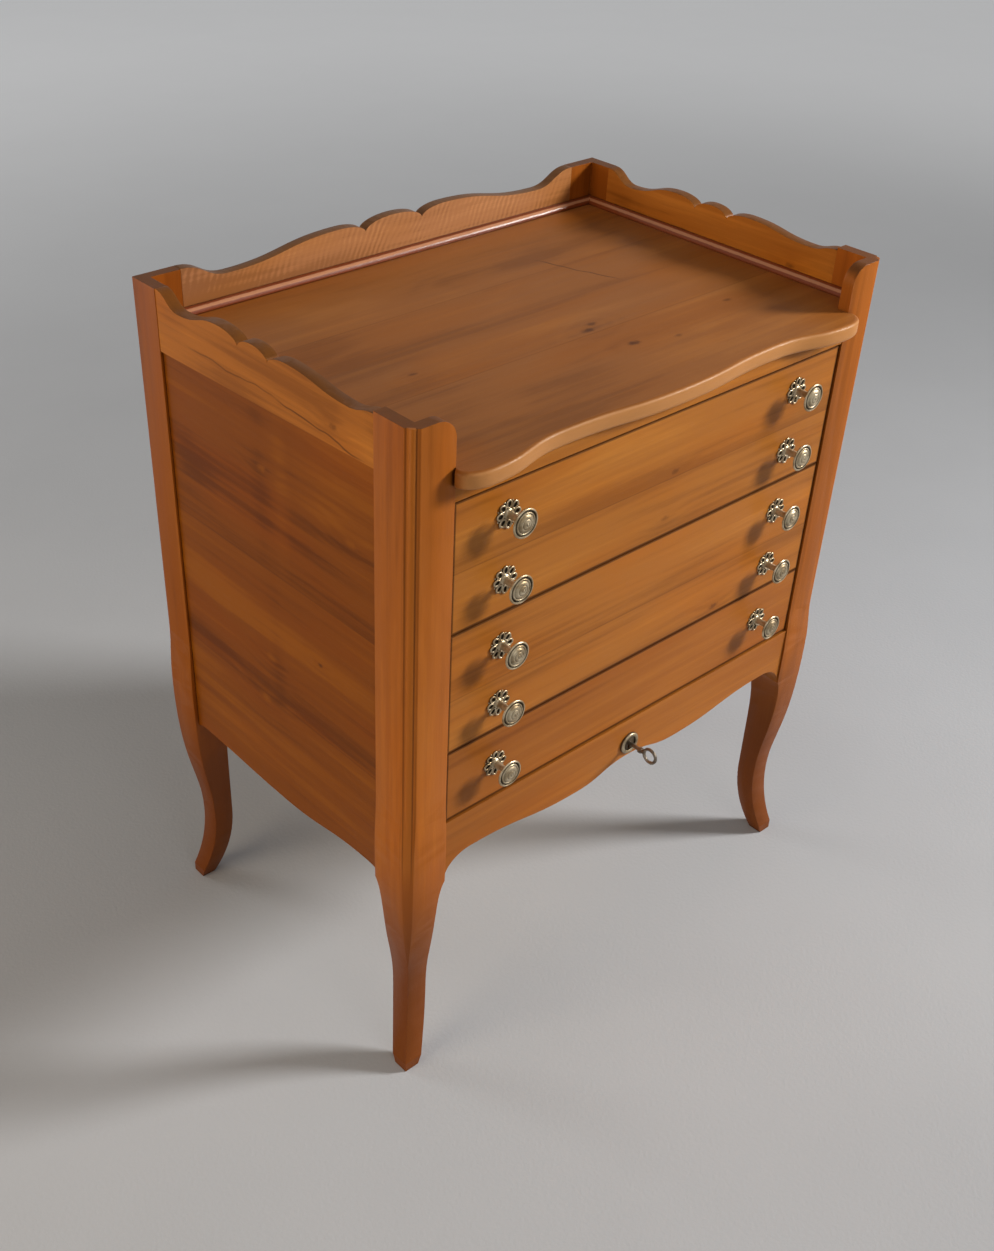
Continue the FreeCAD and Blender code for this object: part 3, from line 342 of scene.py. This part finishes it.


# Colour of a board: faces that look forward lighter, partly its own tone and partly a painted highlight;
# faces that look up darker; a painted highlight along a moulding's middle; and a leg darker towards
# the floor, partly a darker finish and partly painted shade
def worn(board, colour, front_edge, top_edge, ridge, smoke):
    normal = board.node("NewGeometry", {}).outputs["Normal"]
    facing = board.node("SeparateXYZ", {0: normal}).outputs
    # Faces that look forward grow lighter, partly the wood's own tone and partly a painted highlight
    if front_edge:
        share = board.passage(facing["Y"], -0.35, -0.8, 0.0, FRONT_SHARE)
        colour = board.mix(share, colour, front_edge)
    if top_edge:
        share = board.passage(facing["Z"], 0.35, 0.8, 0.0, TOP_SHARE)
        colour = board.mix(share, colour, top_edge)
    # A painted highlight along the middle of a moulding
    if ridge:
        toward = board.node("VectorMath", {0: normal, 1: ridge}, operation="DOT_PRODUCT")
        share = board.passage(toward.outputs["Value"], 0.96, 0.995, 0.0, RIDGE_SHARE)
        colour = board.mix(share, colour, RIDGE_EDGE)
    # A leg darkens towards the floor, partly a darker finish and partly painted shade
    if smoke:
        height = board.node("SeparateXYZ", {0: board.place}).outputs["Z"]
        share = board.passage(height, smoke, 0.4 * smoke, 0.0, SMOKE_SHARE)
        colour = board.mix(share, colour, SMOKE_BROWN)
    return colour


# Details of a board: seams, knots, patches and cracks as their methods take them; ripple is the
# weight of curly figure; front_edge is the colour of faces that look forward, partly a
# lighter wood and partly a painted highlight, and top_edge the colour of edges that face up;
# ridge is the way that the middle of a moulding faces, where a painted highlight lies;
# border holds two corners of a board that stands in a dark gap, along whose rim shade is
# painted; smoke is the height below which a leg darkens, partly a darker finish
# and partly painted shade; reed is the outer corner of a post with a bead, where a highlight and
# shade are painted; and gloss is the strength of its polish
def wood(
    name, axes, palette, seed, seams=(), knots=(), patches=(), cracks=(), ripple=0.0,
    front_edge=None, top_edge=None, ridge=None, border=None, smoke=None, reed=None, gloss=PLAIN_GLOSS,
):
    board = Board(name, axes, seed)
    for seam in seams:
        board.seam(*seam)
    for knot in knots:
        board.knot(*knot)
    for patch in patches:
        board.patch(*patch)
    for crack in cracks:
        board.crack(*crack)
    grain = board.grain()
    streaks = board.figure(grain, *STREAK_FIGURE)
    fibres = board.figure(grain, *FIBRE_FIGURE)
    pores = board.passage(board.figure(grain, *PORE_FIGURE), 0.62, 0.74)
    tone = board.total(
        board.centred(board.figure(grain, *BROAD_FIGURE), BROAD_WEIGHT),
        board.centred(board.figure(grain, *BAND_FIGURE), BAND_WEIGHT),
        board.centred(streaks, STREAK_WEIGHT),
        board.centred(fibres, FIBRE_WEIGHT),
        board.scaled(board.rings(grain, *PITH), RING_WEIGHT),
        board.board_tone,
    )
    if ripple:
        tone = board.math("ADD", tone, board.scaled(board.ripple(grain), ripple))

    dark, middle, light = palette
    colour = board.mix(board.passage(tone, 0.0, TONE_REACH), middle, light)
    colour = board.mix(board.passage(tone, 0.0, -TONE_REACH), colour, dark)
    glow = board.passage(board.figure(grain, *GLOW_FIGURE), 0.45, 0.7)
    colour = board.mix(board.scaled(glow, GLOW_SHARE), colour, GOLDEN, "MULTIPLY")
    colour = worn(board, colour, front_edge, top_edge, ridge, smoke)
    colour = board.mix(board.scaled(pores, PORE_SHARE), colour, dark)
    colour = board.mix(board.knot_eye, colour, light)
    colour = board.mix(board.knot_core, colour, KNOT_BROWN)
    colour = board.mix(board.scaled(board.glue_line, GLUE_SHARE), colour, KNOT_BROWN)
    colour = board.mix(board.cracks, colour, CRACK_BROWN)
    # Painted shade: darker in crevices found by ambient occlusion, along a drawer front's rim and beside
    # a post's bead
    grime = board.crevice(WOOD_GRIME_REACH)
    if border:
        grime = board.math("MAXIMUM", board.rim_dirt(*border), grime)
    if reed:
        # A painted highlight on the post's bead, and painted shade in its grooves
        grooves, bead = board.reed(*reed)
        colour = board.mix(board.scaled(bead, BEAD_SHARE), colour, light)
        grime = board.math("MAXIMUM", grooves, grime)
    colour = board.mix(board.scaled(grime, GRIME_SHARE), colour, CRACK_BROWN)

    height = board.total(
        board.scaled(fibres, 0.5), board.scaled(pores, -0.5), board.scaled(streaks, 0.8)
    )
    return board.finish(
        height,
        WOOD_BUMP,
        Base_Color=colour,
        Roughness=board.total(board.scaled(streaks, 0.16, 0.32), board.scaled(grime, 0.25)),
        Specular_IOR_Level=WOOD_SHINE,
        Coat_Weight=gloss,
        Coat_Roughness=GLOSS_ROUGHNESS,
    )


# Metal
# Reach of the ambient occlusion that darkens the metal's hollows as painted shade
METAL_GRIME_REACH = 3 * MM
METAL_BUMP = 0.05 * MM
METAL_SHARE, DUSTY_SHARE = 0.82, 0.3
FILM_SHARE = 0.92


# Clouds of a bright and a dull tone, with a dark film in the hollows, painted shade where ambient
# occlusion finds a hollow, and less shine under dust
def metal(name, bright, dull, film, roughness):
    graph = Graph(name)
    cloud = graph.noise(graph.place, detail=3.0, scale=120.0)
    specks = graph.noise(graph.place, scale=1100.0)
    colour = graph.mix(graph.passage(cloud, 0.35, 0.68), bright, dull)
    colour = graph.mix(graph.passage(specks, 0.6, 0.75, 0.0, 0.3), colour, film)
    film_share = graph.drawn_film()
    # The film joined with painted shade from ambient occlusion
    hollow = graph.math("MAXIMUM", graph.crevice(METAL_GRIME_REACH), film_share)
    metallic = graph.passage(film_share, -1.0, 0.0, DUSTY_SHARE, METAL_SHARE)
    colour = graph.mix(graph.scaled(hollow, FILM_SHARE), colour, film)
    rough = graph.total(graph.scaled(cloud, 0.16, roughness), graph.scaled(hollow, 0.3))
    height = graph.total(specks, cloud)
    return graph.finish(height, METAL_BUMP, Base_Color=colour, Metallic=metallic, Roughness=rough)


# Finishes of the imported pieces
POST_TONES = tones(178, 101, 34, 0.24)
BACK_POST_TONES = tones(158, 86, 22, 0.24)
FRONT_RAIL_TONES = tones(172, 106, 37, 0.3)
DRAWER_TONES = {1: tones(176, 109, 40, 0.3), 2: tones(178, 110, 42, 0.3), 3: tones(165, 97, 34, 0.3)}
TOP_TONES = tones(161, 100, 47, 0.26)
PANEL_TONES = tones(139, 74, 9, 0.4)
GALLERY_TONES = tones(184, 128, 84, 0.3)
SIDE_TONES = tones(187, 113, 40, 0.34)
TRIM_TONES = tones(132, 64, 32, 0.24)
BOX_TONES = tones(196, 156, 106, 0.2)
INNER_TONES = tones(158, 112, 66, 0.24)
# Colour of faces that look forward, partly a lighter wood and partly a painted highlight
FRONT_EDGE = tint(206, 146, 88)
TOP_EDGE = tint(84, 52, 22)
# Colour of the painted highlight along a moulding's middle
RIDGE_EDGE = tint(216, 156, 114)

# Height below which a leg darkens, partly a darker finish and partly painted shade
LEG_SMOKE = 0.34
TRIM_GLOSS = 0.4
GALLERY_RIPPLE = 0.28
PANEL_SETBACK = 0.006
RAIL_SETBACK = 0.002

# Axes along which the length, width and thickness of a board lie
LENGTHWAYS = "xzy"
UPRIGHT = "zxy"
BACKWARDS = "yzx"
LYING = "xyz"

# Marks of the wood, as the methods of a board take them
TOP_SEAMS = ((-0.065, -0.12), (0.085, 0.14))
TOP_KNOTS = (
    (0.037, -0.048, 0.005, 0.6),
    (0.023, -0.057, 0.006, 0.7),
    (0.036, -0.106, 0.006, 0.75),
    (0.085, -0.120, 0.004, 0.4),
    (-0.180, -0.029, 0.004, 0.6),
    (0.195, -0.090, 0.004, 0.5),
)
TOP_PATCHES = (
    (0.110, 0.115, 0.050, 0.022, -0.35),
    (-0.030, 0.134, 0.060, 0.020, -0.30),
    (-0.063, -0.134, 0.070, 0.020, -0.30),
    (0.030, -0.070, 0.060, 0.030, -0.20),
    (-0.230, 0.020, 0.080, 0.120, -0.30),
    (0.100, -0.165, 0.160, 0.035, 0.35),
)
TOP_CRACKS = (((0.112, 0.120), (0.149, 0.012), 0.7),)
PANEL_SEAMS = ((0.385, 0.08), (0.544, -0.2))
PANEL_KNOTS = (
    (0.030, 0.654, 0.005, -0.7),
    (-0.103, 0.634, 0.006, -0.6),
    (0.031, 0.438, 0.006, -0.6),
    (0.046, 0.379, 0.007, -0.7),
    (-0.052, 0.474, 0.003, 0.6),
)
PANEL_PATCHES = (
    (0.034, 0.640, 0.014, 0.120, -0.14),
    (0.002, 0.650, 0.014, 0.080, 0.25),
    (0.150, 0.600, 0.040, 0.040, -0.25),
    (-0.080, 0.660, 0.060, 0.030, 0.25),
    (0.020, 0.450, 0.012, 0.090, -0.12),
    (0.130, 0.480, 0.070, 0.030, 0.25),
)
RAIL_CRACKS = (
    ((0.150, 0.7366), (-0.020, 0.7375), 0.45),
    ((0.010, 0.7375), (-0.135, 0.7260), 0.6),
)
RAIL_PATCHES = (
    (-0.130, 0.746, 0.040, 0.020, 0.4),
    (0.080, 0.726, 0.080, 0.014, -0.3),
    (0.165, 0.748, 0.030, 0.020, -0.25),
)
RAIL_KNOTS = ((-0.085, 0.742, 0.004, 0.45),)
GALLERY_PATCHES = ((-0.270, 0.750, 0.110, 0.060, -0.4), (0.265, 0.750, 0.050, 0.060, -0.3))
BACK_SEAMS = ((-0.14, 0.1), (0.05, -0.12), (0.19, 0.1))
BOTTOM_SEAMS = ((-0.04, 0.1), (0.08, -0.08))
DRAWER_SEAMS = {1: ((0.624, -0.35, 0.045),), 2: ((0.485, -0.35, 0.045),), 3: ()}
DRAWER_KNOTS = {
    1: ((0.016, 0.580, 0.004, 0.35), (0.023, 0.630, 0.004, 0.45)),
    2: ((0.118, 0.434, 0.005, 0.55),),
    3: (),
}


WOOD_EDGE = 0.7 * MM
EDGE_STEPS = 2
EDGE_ANGLE = math.radians(40)
FLAT_ANGLE = math.radians(0.4)
CORNER_REACH = 0.02 * MM


# Edges that years of use have rounded
def ease_edges(piece):
    weld = piece.modifiers.new("joined_corners", "WELD")
    weld.merge_threshold = CORNER_REACH
    flat = piece.modifiers.new("plain_faces", "DECIMATE")
    flat.decimate_type = "DISSOLVE"
    flat.angle_limit = FLAT_ANGLE
    bevel = piece.modifiers.new("eased_edges", "BEVEL")
    bevel.width = WOOD_EDGE
    bevel.segments = EDGE_STEPS
    bevel.limit_method = "ANGLE"
    bevel.angle_limit = EDGE_ANGLE
    bevel.harden_normals = True


def dress(node, material):
    for slot in NODES[node].material_slots:
        slot.material = material


def dress_wood(node, axes, palette, seed, **details):
    dress(node, wood(f"{node}_finish", axes, palette, seed, **details))
    ease_edges(NODES[node])


# Legs darken towards the floor, partly a darker finish and partly painted shade; a front post's bead
# carries a painted highlight and painted shade
def dress_posts():
    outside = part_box("right_side_panel")[1].x + PANEL_SETBACK
    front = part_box("top_front_rail")[0].y - RAIL_SETBACK
    for seed, side in enumerate(SIDES, 1):
        dress_wood(
            f"front_{side}_post", UPRIGHT, POST_TONES, seed,
            top_edge=TOP_EDGE, smoke=LEG_SMOKE, reed=(outside, front),
        )
        dress_wood(
            f"back_{side}_post", UPRIGHT, BACK_POST_TONES, seed + 2, top_edge=TOP_EDGE, smoke=LEG_SMOKE
        )


def dress_sides():
    for seed, side in enumerate(SIDES, 11):
        inward = SLANT if side == "left" else -SLANT
        dress_wood(
            f"{side}_side_rail", BACKWARDS, SIDE_TONES, seed,
            knots=RAIL_KNOTS, patches=RAIL_PATCHES, cracks=RAIL_CRACKS, top_edge=TOP_EDGE,
        )
        dress_wood(
            f"{side}_side_panel", BACKWARDS, PANEL_TONES, seed + 2,
            seams=PANEL_SEAMS, knots=PANEL_KNOTS, patches=PANEL_PATCHES,
        )
        dress_wood(
            # The bead carries a painted highlight along its middle
            f"{side}_bead", BACKWARDS, TRIM_TONES, seed + 4, ridge=(inward, 0, SLANT), gloss=TRIM_GLOSS
        )
        dress_wood(f"{side}_kicker", BACKWARDS, INNER_TONES, seed + 6)
        for level in LEVELS:
            dress_wood(f"{side}_runner_{level}", BACKWARDS, INNER_TONES, seed + 6 + 2 * level)


def dress_middle():
    dress_wood(
        "back_gallery_rail", LENGTHWAYS, GALLERY_TONES, 31,
        patches=GALLERY_PATCHES, ripple=GALLERY_RIPPLE, top_edge=TOP_EDGE,
    )
    # The bead carries a painted highlight along its middle
    dress_wood("back_bead", LENGTHWAYS, TRIM_TONES, 32, ridge=(0, -SLANT, SLANT), gloss=TRIM_GLOSS)
    # The top board's front edge is lighter, partly its own tone and partly a painted highlight
    dress_wood(
        "top_board", LYING, TOP_TONES, 33,
        seams=TOP_SEAMS, knots=TOP_KNOTS, patches=TOP_PATCHES, cracks=TOP_CRACKS,
        front_edge=FRONT_EDGE,
    )
    dress_wood("top_front_rail", LENGTHWAYS, FRONT_RAIL_TONES, 34)
    dress_wood("front_apron", LENGTHWAYS, DRAWER_TONES[3], 35)
    dress_wood("back_panel", UPRIGHT, INNER_TONES, 36, seams=BACK_SEAMS)
    dress_wood("back_lower_rail", LENGTHWAYS, INNER_TONES, 37)
    dress_wood("drawer_stops", LENGTHWAYS, INNER_TONES, 38)


def dress_drawers():
    for level in LEVELS:
        seed = 40 + 6 * level
        low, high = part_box(f"drawer_{level}_front")
        dress_wood(
            f"drawer_{level}_front", LENGTHWAYS, DRAWER_TONES[level], seed,
            seams=DRAWER_SEAMS[level], knots=DRAWER_KNOTS[level],
            # Painted shade along the rim of the drawer front
            border=((low.x, low.z), (high.x, high.z)),
        )
        dress_wood(f"drawer_{level}_left_side", BACKWARDS, BOX_TONES, seed + 1)
        dress_wood(f"drawer_{level}_right_side", BACKWARDS, BOX_TONES, seed + 2)
        dress_wood(f"drawer_{level}_back", LENGTHWAYS, BOX_TONES, seed + 3)
        dress_wood(f"drawer_{level}_bottom", LYING, BOX_TONES, seed + 4, seams=BOTTOM_SEAMS)


AGED_BRASS = metal("aged_brass_finish", tint(206, 190, 160), tint(158, 137, 104), tint(30, 21, 13), 0.26)
DARK_BRASS = metal("dark_brass_finish", tint(122, 106, 84), tint(80, 66, 50), tint(24, 17, 11), 0.4)
STEEL = metal("steel_finish", tint(190, 188, 184), tint(140, 136, 130), tint(60, 54, 48), 0.3)
IRON = metal("iron_finish", tint(158, 148, 134), tint(108, 98, 86), tint(44, 38, 32), 0.3)


def dress_metal():
    for level in LEVELS:
        dress(f"drawer_{level}_knobs", AGED_BRASS)
        dress(f"drawer_{level}_rosettes", AGED_BRASS)
        dress(f"drawer_{level}_knob_nuts", STEEL)
    dress("escutcheon", DARK_BRASS)
    dress("escutcheon_pins", AGED_BRASS)
    for node in ("lock_case", "lock_bolt", "lock_screws", "kicker_screws"):
        dress(node, STEEL)
    dress("key", IRON)


# Turned brass. A profile runs from point to point as radius and distance out of the face, in
# millimetres; the third number is how far a stretch is hollowed, or swells where below nought,
# and the fourth is the share of dark film at the point, or of pale dust where below nought
TURN_STEPS = 40
PEARL_STEPS, DOME_STEPS = 12, 5
STRETCH_STEPS = 4
SHARP_ANGLE = math.radians(38)
WELD_REACH = 0.001 * MM
SOLID_WELD_REACH = 0.01 * MM
KNOB_PROFILE = (
    (0.0, -25.5, 0.0, 0.0),
    (2.0, -25.5, 0.0, 0.0),
    (2.0, 0.6, 0.0, 1.0),
    (5.6, 0.6, 0.0, 1.0),
    (5.4, 1.6, -0.2, 0.0),
    (3.7, 4.4, 0.6, -0.6),
    (3.6, 15.2, 0.2, -1.0),
    (4.3, 15.8, 0.0, -1.0),
    (4.3, 16.8, -0.3, -0.6),
    (3.5, 17.2, 0.0, 1.0),
    (12.6, 20.9, 1.2, 0.2),
    (14.5, 21.6, -0.2, 0.0),
    (14.3, 22.8, -0.3, 0.0),
    (13.1, 23.2, -0.2, 0.0),
    (12.5, 22.2, 0.0, 1.0),
    (11.3, 22.3, 0.0, 1.0),
    (10.8, 23.3, 0.0, 0.1),
    (9.7, 23.5, -0.2, 0.0),
    (9.3, 23.1, 0.0, 0.7),
    (8.7, 23.4, 0.0, 0.3),
    (5.6, 24.9, -0.4, 0.0),
    (5.1, 24.6, 0.0, 0.6),
    (4.4, 25.1, 0.0, 0.1),
    (2.2, 25.6, -0.15, 0.0),
    (1.7, 25.3, 0.0, 0.5),
    (0.0, 25.9, -0.2, 0.0),
)
ROSETTE_PETALS = 8
PETAL_DISTANCE, PETAL_LENGTH, PETAL_WIDTH, PETAL_WIRE = 9.9, 3.9, 3.0, 0.95
PETAL_STEPS, WIRE_STEPS = 24, 10
PEARL_DISTANCE, PEARL_RADIUS = 13.0, 0.95
# A thin disc under the loops, wholly under dark film: painted shade inside the piercings
ROSETTE_GROUND = (
    (3.0, 0.0, 0.0, 1.0),
    (11.7, 0.0, 0.0, 1.0),
    (11.7, 0.3, 0.0, 1.0),
    (3.0, 0.3, 0.0, 1.0),
    (3.0, 0.0, 0.0, 1.0),
)
RIM_SINK = 0.9
ESCUTCHEON_PROFILE = (
    (13.1, 0.0, 0.0, 0.6),
    (13.1, 0.7, 0.0, 0.2),
    (9.2, 1.7, -1.1, 0.1),
    (8.6, 1.1, 0.0, 1.0),
    (8.6, 0.0, 0.0, 1.0),
    (13.1, 0.0, 0.0, 0.6),
)


# Line of a profile with its hollows and swells, as radius, distance out of the face and film
def drawn(profile):
    line = [(profile[0][0], profile[0][1], profile[0][3])]
    for radius, out, hollow, film in profile[1:]:
        start_radius, start_out, start_film = line[-1]
        across, along = radius - start_radius, out - start_out
        length = math.hypot(across, along)
        steps = STRETCH_STEPS if hollow else 1
        for step in range(1, steps + 1):
            share = step / steps
            depth = 4 * hollow * share * (1 - share) / length
            place_radius = start_radius + share * across - depth * along
            place_out = start_out + share * along + depth * across
            line.append((place_radius, place_out, start_film + share * (film - start_film)))
    return line


# Line of half a ball that lies on the face
def pearl_line(radius):
    line = [(0.0, 0.0, 0.0)]
    for step in range(DOME_STEPS + 1):
        turn = math.pi / 2 * step / DOME_STEPS
        line.append((radius * math.cos(turn), radius * math.sin(turn), 0.0))
    return line


def new_shape():
    shape = bmesh.new()
    shape.verts.layers.float.new(FILM)
    return shape


def turn_profile(shape, line, centre, steps=TURN_STEPS):
    layer = shape.verts.layers.float[FILM]
    points = []
    for radius, out, film in line:
        point = shape.verts.new(centre + Vector((radius, -out, 0)) * MM)
        point[layer] = film
        points.append(point)
    edges = [shape.edges.new(pair) for pair in zip(points, points[1:])]
    bmesh.ops.spin(
        shape, geom=points + edges, cent=centre, axis=(0, 1, 0),
        angle=FULL_TURN, steps=steps, use_merge=True,
    )


def round_about(centre, distance, turn):
    return centre + Vector((math.cos(turn), 0, math.sin(turn))) * distance * MM


# A loop of wire in the shape of a petal that lies on the face and points away from the centre
def bend_petal(shape, centre, turn):
    outward = Vector((math.cos(turn), 0, math.sin(turn)))
    sideways = Vector((-math.sin(turn), 0, math.cos(turn)))
    forward = Vector((0, -1, 0))
    rings = []
    for step in range(PETAL_STEPS):
        angle = FULL_TURN * step / PETAL_STEPS
        course = Vector((PETAL_LENGTH * math.cos(angle), PETAL_WIDTH * math.sin(angle)))
        away = Vector((course.x / PETAL_LENGTH**2, course.y / PETAL_WIDTH**2)).normalized()
        ring = []
        for part in range(WIRE_STEPS):
            roll = FULL_TURN * part / WIRE_STEPS
            flat = course + away * PETAL_WIRE * math.cos(roll)
            place = outward * (PETAL_DISTANCE + flat.x) + sideways * flat.y
            place += forward * PETAL_WIRE * (1 + math.sin(roll))
            ring.append(shape.verts.new(centre + place * MM))
        rings.append(ring)
    for ring, following in zip(rings, rings[1:] + rings[:1]):
        for part in range(WIRE_STEPS):
            beside = (part + 1) % WIRE_STEPS
            shape.faces.new((ring[part], ring[beside], following[beside], following[part]))


def finish_piece(name, shape, body, material, *nodes):
    bmesh.ops.remove_doubles(shape, verts=shape.verts, dist=WELD_REACH)
    bmesh.ops.recalc_face_normals(shape, faces=shape.faces)
    mesh = bpy.data.meshes.new(name)
    shape.to_mesh(mesh)
    shape.free()
    mesh.materials.append(material)
    mesh.shade_smooth()
    mesh.set_sharp_from_angle(angle=SHARP_ANGLE)
    piece = bpy.data.objects.new(name, mesh)
    bpy.context.scene.collection.objects.link(piece)
    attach(piece, body)
    if nodes:
        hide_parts(*nodes)


# Middles of the round solids of a node, on the face that they stand on
def solid_middles(node, face):
    shape = bmesh.new()
    shape.from_mesh(NODES[node].data)
    bmesh.ops.remove_doubles(shape, verts=shape.verts, dist=SOLID_WELD_REACH)
    waiting = set(shape.verts)
    middles = []
    while waiting:
        found = [waiting.pop()]
        for corner in found:
            near = {edge.other_vert(corner) for edge in corner.link_edges} & waiting
            waiting -= near
            found.extend(near)
        across = [corner.co.x for corner in found]
        up = [corner.co.z for corner in found]
        middles.append(Vector(((min(across) + max(across)) / 2, face, (min(up) + max(up)) / 2)))
    shape.free()
    return sorted(middles, key=tuple)


def make_knobs(level):
    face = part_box(f"drawer_{level}_front")[0].y
    node = f"drawer_{level}_knobs"
    shape = new_shape()
    for middle in solid_middles(node, face):
        turn_profile(shape, drawn(KNOB_PROFILE), middle)
    finish_piece(f"turned_knobs_{level}", shape, f"drawer_{level}", AGED_BRASS, node)


def make_rosettes(level):
    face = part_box(f"drawer_{level}_front")[0].y
    node = f"drawer_{level}_rosettes"
    shape = new_shape()
    for middle in solid_middles(node, face):
        # The dark disc under the loops is painted shade inside the piercings
        turn_profile(shape, drawn(ROSETTE_GROUND), middle)
        for step in range(ROSETTE_PETALS):
            turn = FULL_TURN * step / ROSETTE_PETALS
            bend_petal(shape, middle, turn)
            pearl_at = round_about(middle, PEARL_DISTANCE, turn + math.pi / ROSETTE_PETALS)
            turn_profile(shape, pearl_line(PEARL_RADIUS), pearl_at, PEARL_STEPS)
    finish_piece(f"pierced_rosettes_{level}", shape, f"drawer_{level}", AGED_BRASS, node)


def make_escutcheon_rim():
    low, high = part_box("escutcheon")
    middle = (low + high) / 2
    middle.y = low.y + RIM_SINK * MM
    shape = new_shape()
    turn_profile(shape, drawn(ESCUTCHEON_PROFILE), middle)
    finish_piece("escutcheon_rim", shape, "case", AGED_BRASS)


# Floor and light
FLOOR_COLOUR = tint(196, 200, 206)
FLOOR_SHADE = tint(193, 197, 203)
FLOOR_SIZE = 60.0
FLOOR_BUMP = 0.6 * MM
FLOOR_ROUGHNESS = 0.85
BACKDROP_COLOUR = tint(252, 252, 252)
BACKDROP_GLOW = 0.42
FLOOR_GLOW = 0.85 * BACKDROP_GLOW
GLOW_START, GLOW_FULL = 0.8, 4.5
SKY_LIGHT = 0.12
LAMP_TARGET = Vector((0, 0, 0.4))
KEY_SPREAD = math.radians(90)
WHITE_LIGHT = tint(255, 250, 244)
CREAM_LIGHT = tint(255, 250, 242)
WARM_LIGHT = tint(255, 232, 200)


# 1 for what the camera sees straight on or in a mirror, so that the pale distance adds no light
def seen_directly(tree):
    path = tree.nodes.new("ShaderNodeLightPath")
    seen = path.outputs["Is Camera Ray"]
    for ray in ("Is Glossy Ray", "Is Transmission Ray"):
        either = tree.nodes.new("ShaderNodeMath")
        either.operation = "MAXIMUM"
        tree.links.new(seen, either.inputs[0])
        tree.links.new(path.outputs[ray], either.inputs[1])
        seen = either.outputs[0]
    return seen


def lay_floor():
    graph = Graph("floor_finish")
    cloud = graph.noise(graph.place, detail=4.0, scale=3.0)
    colour = graph.mix(graph.passage(cloud, 0.3, 0.7), FLOOR_COLOUR, FLOOR_SHADE)
    grit = graph.noise(graph.place, detail=3.0, scale=220.0)
    away = graph.node("VectorMath", {0: graph.place}, operation="LENGTH").outputs["Value"]
    distance = graph.passage(away, GLOW_START, GLOW_FULL, 0.0, FLOOR_GLOW)
    glow = graph.math("MULTIPLY", distance, seen_directly(graph.tree))
    graph.finish(
        grit,
        FLOOR_BUMP,
        Base_Color=colour,
        Roughness=FLOOR_ROUGHNESS,
        Emission_Color=BACKDROP_COLOUR,
        Emission_Strength=glow,
    )
    mesh = bpy.data.meshes.new("floor")
    half = FLOOR_SIZE / 2
    corners = [(-half, -half, 0), (half, -half, 0), (half, half, 0), (-half, half, 0)]
    mesh.from_pydata(corners, [], [(0, 1, 2, 3)])
    mesh.materials.append(graph.material)
    floor = bpy.data.objects.new("floor", mesh)
    bpy.context.scene.collection.objects.link(floor)


def add_lamp(name, place, size, watts, colour, spread=math.pi):
    lamp = bpy.data.lights.new(name, "AREA")
    lamp.shape = "DISK"
    lamp.size = size
    lamp.energy = watts
    lamp.color = colour[:3]
    lamp.spread = spread
    holder = bpy.data.objects.new(name, lamp)
    holder.location = place
    holder.rotation_euler = (Vector(place) - LAMP_TARGET).to_track_quat("Z", "Y").to_euler()
    bpy.context.scene.collection.objects.link(holder)


def light_scene():
    add_lamp("key_light", (2.7, -2.0, 2.05), 0.85, 33.5, WHITE_LIGHT, KEY_SPREAD)
    add_lamp("front_light", (-0.6, -3.4, 1.9), 2.2, 12, CREAM_LIGHT)
    add_lamp("left_light", (-2.6, 0.2, 1.2), 1.6, 23, WARM_LIGHT)
    add_lamp("top_light", (-0.2, 0.1, 3.0), 1.0, 2, WHITE_LIGHT)
    add_lamp("back_light", (-2.2, 4.0, 1.6), 1.8, 36, CREAM_LIGHT)
    world = bpy.data.worlds.new("studio")
    world.use_nodes = True
    tree = world.node_tree
    sky = tree.nodes["Background"]
    sky.inputs["Color"].default_value = BACKDROP_COLOUR
    strength = tree.nodes.new("ShaderNodeMapRange")
    strength.inputs["To Min"].default_value = SKY_LIGHT
    strength.inputs["To Max"].default_value = BACKDROP_GLOW
    tree.links.new(seen_directly(tree), strength.inputs["Value"])
    tree.links.new(strength.outputs[0], sky.inputs["Strength"])
    bpy.context.scene.world = world
    bpy.context.scene.view_settings.view_transform = "Standard"


place_camera()
lay_floor()
light_scene()
dress_posts()
dress_sides()
dress_middle()
dress_drawers()
dress_metal()
for level in LEVELS:
    make_knobs(level)
    make_rosettes(level)
make_escutcheon_rim()
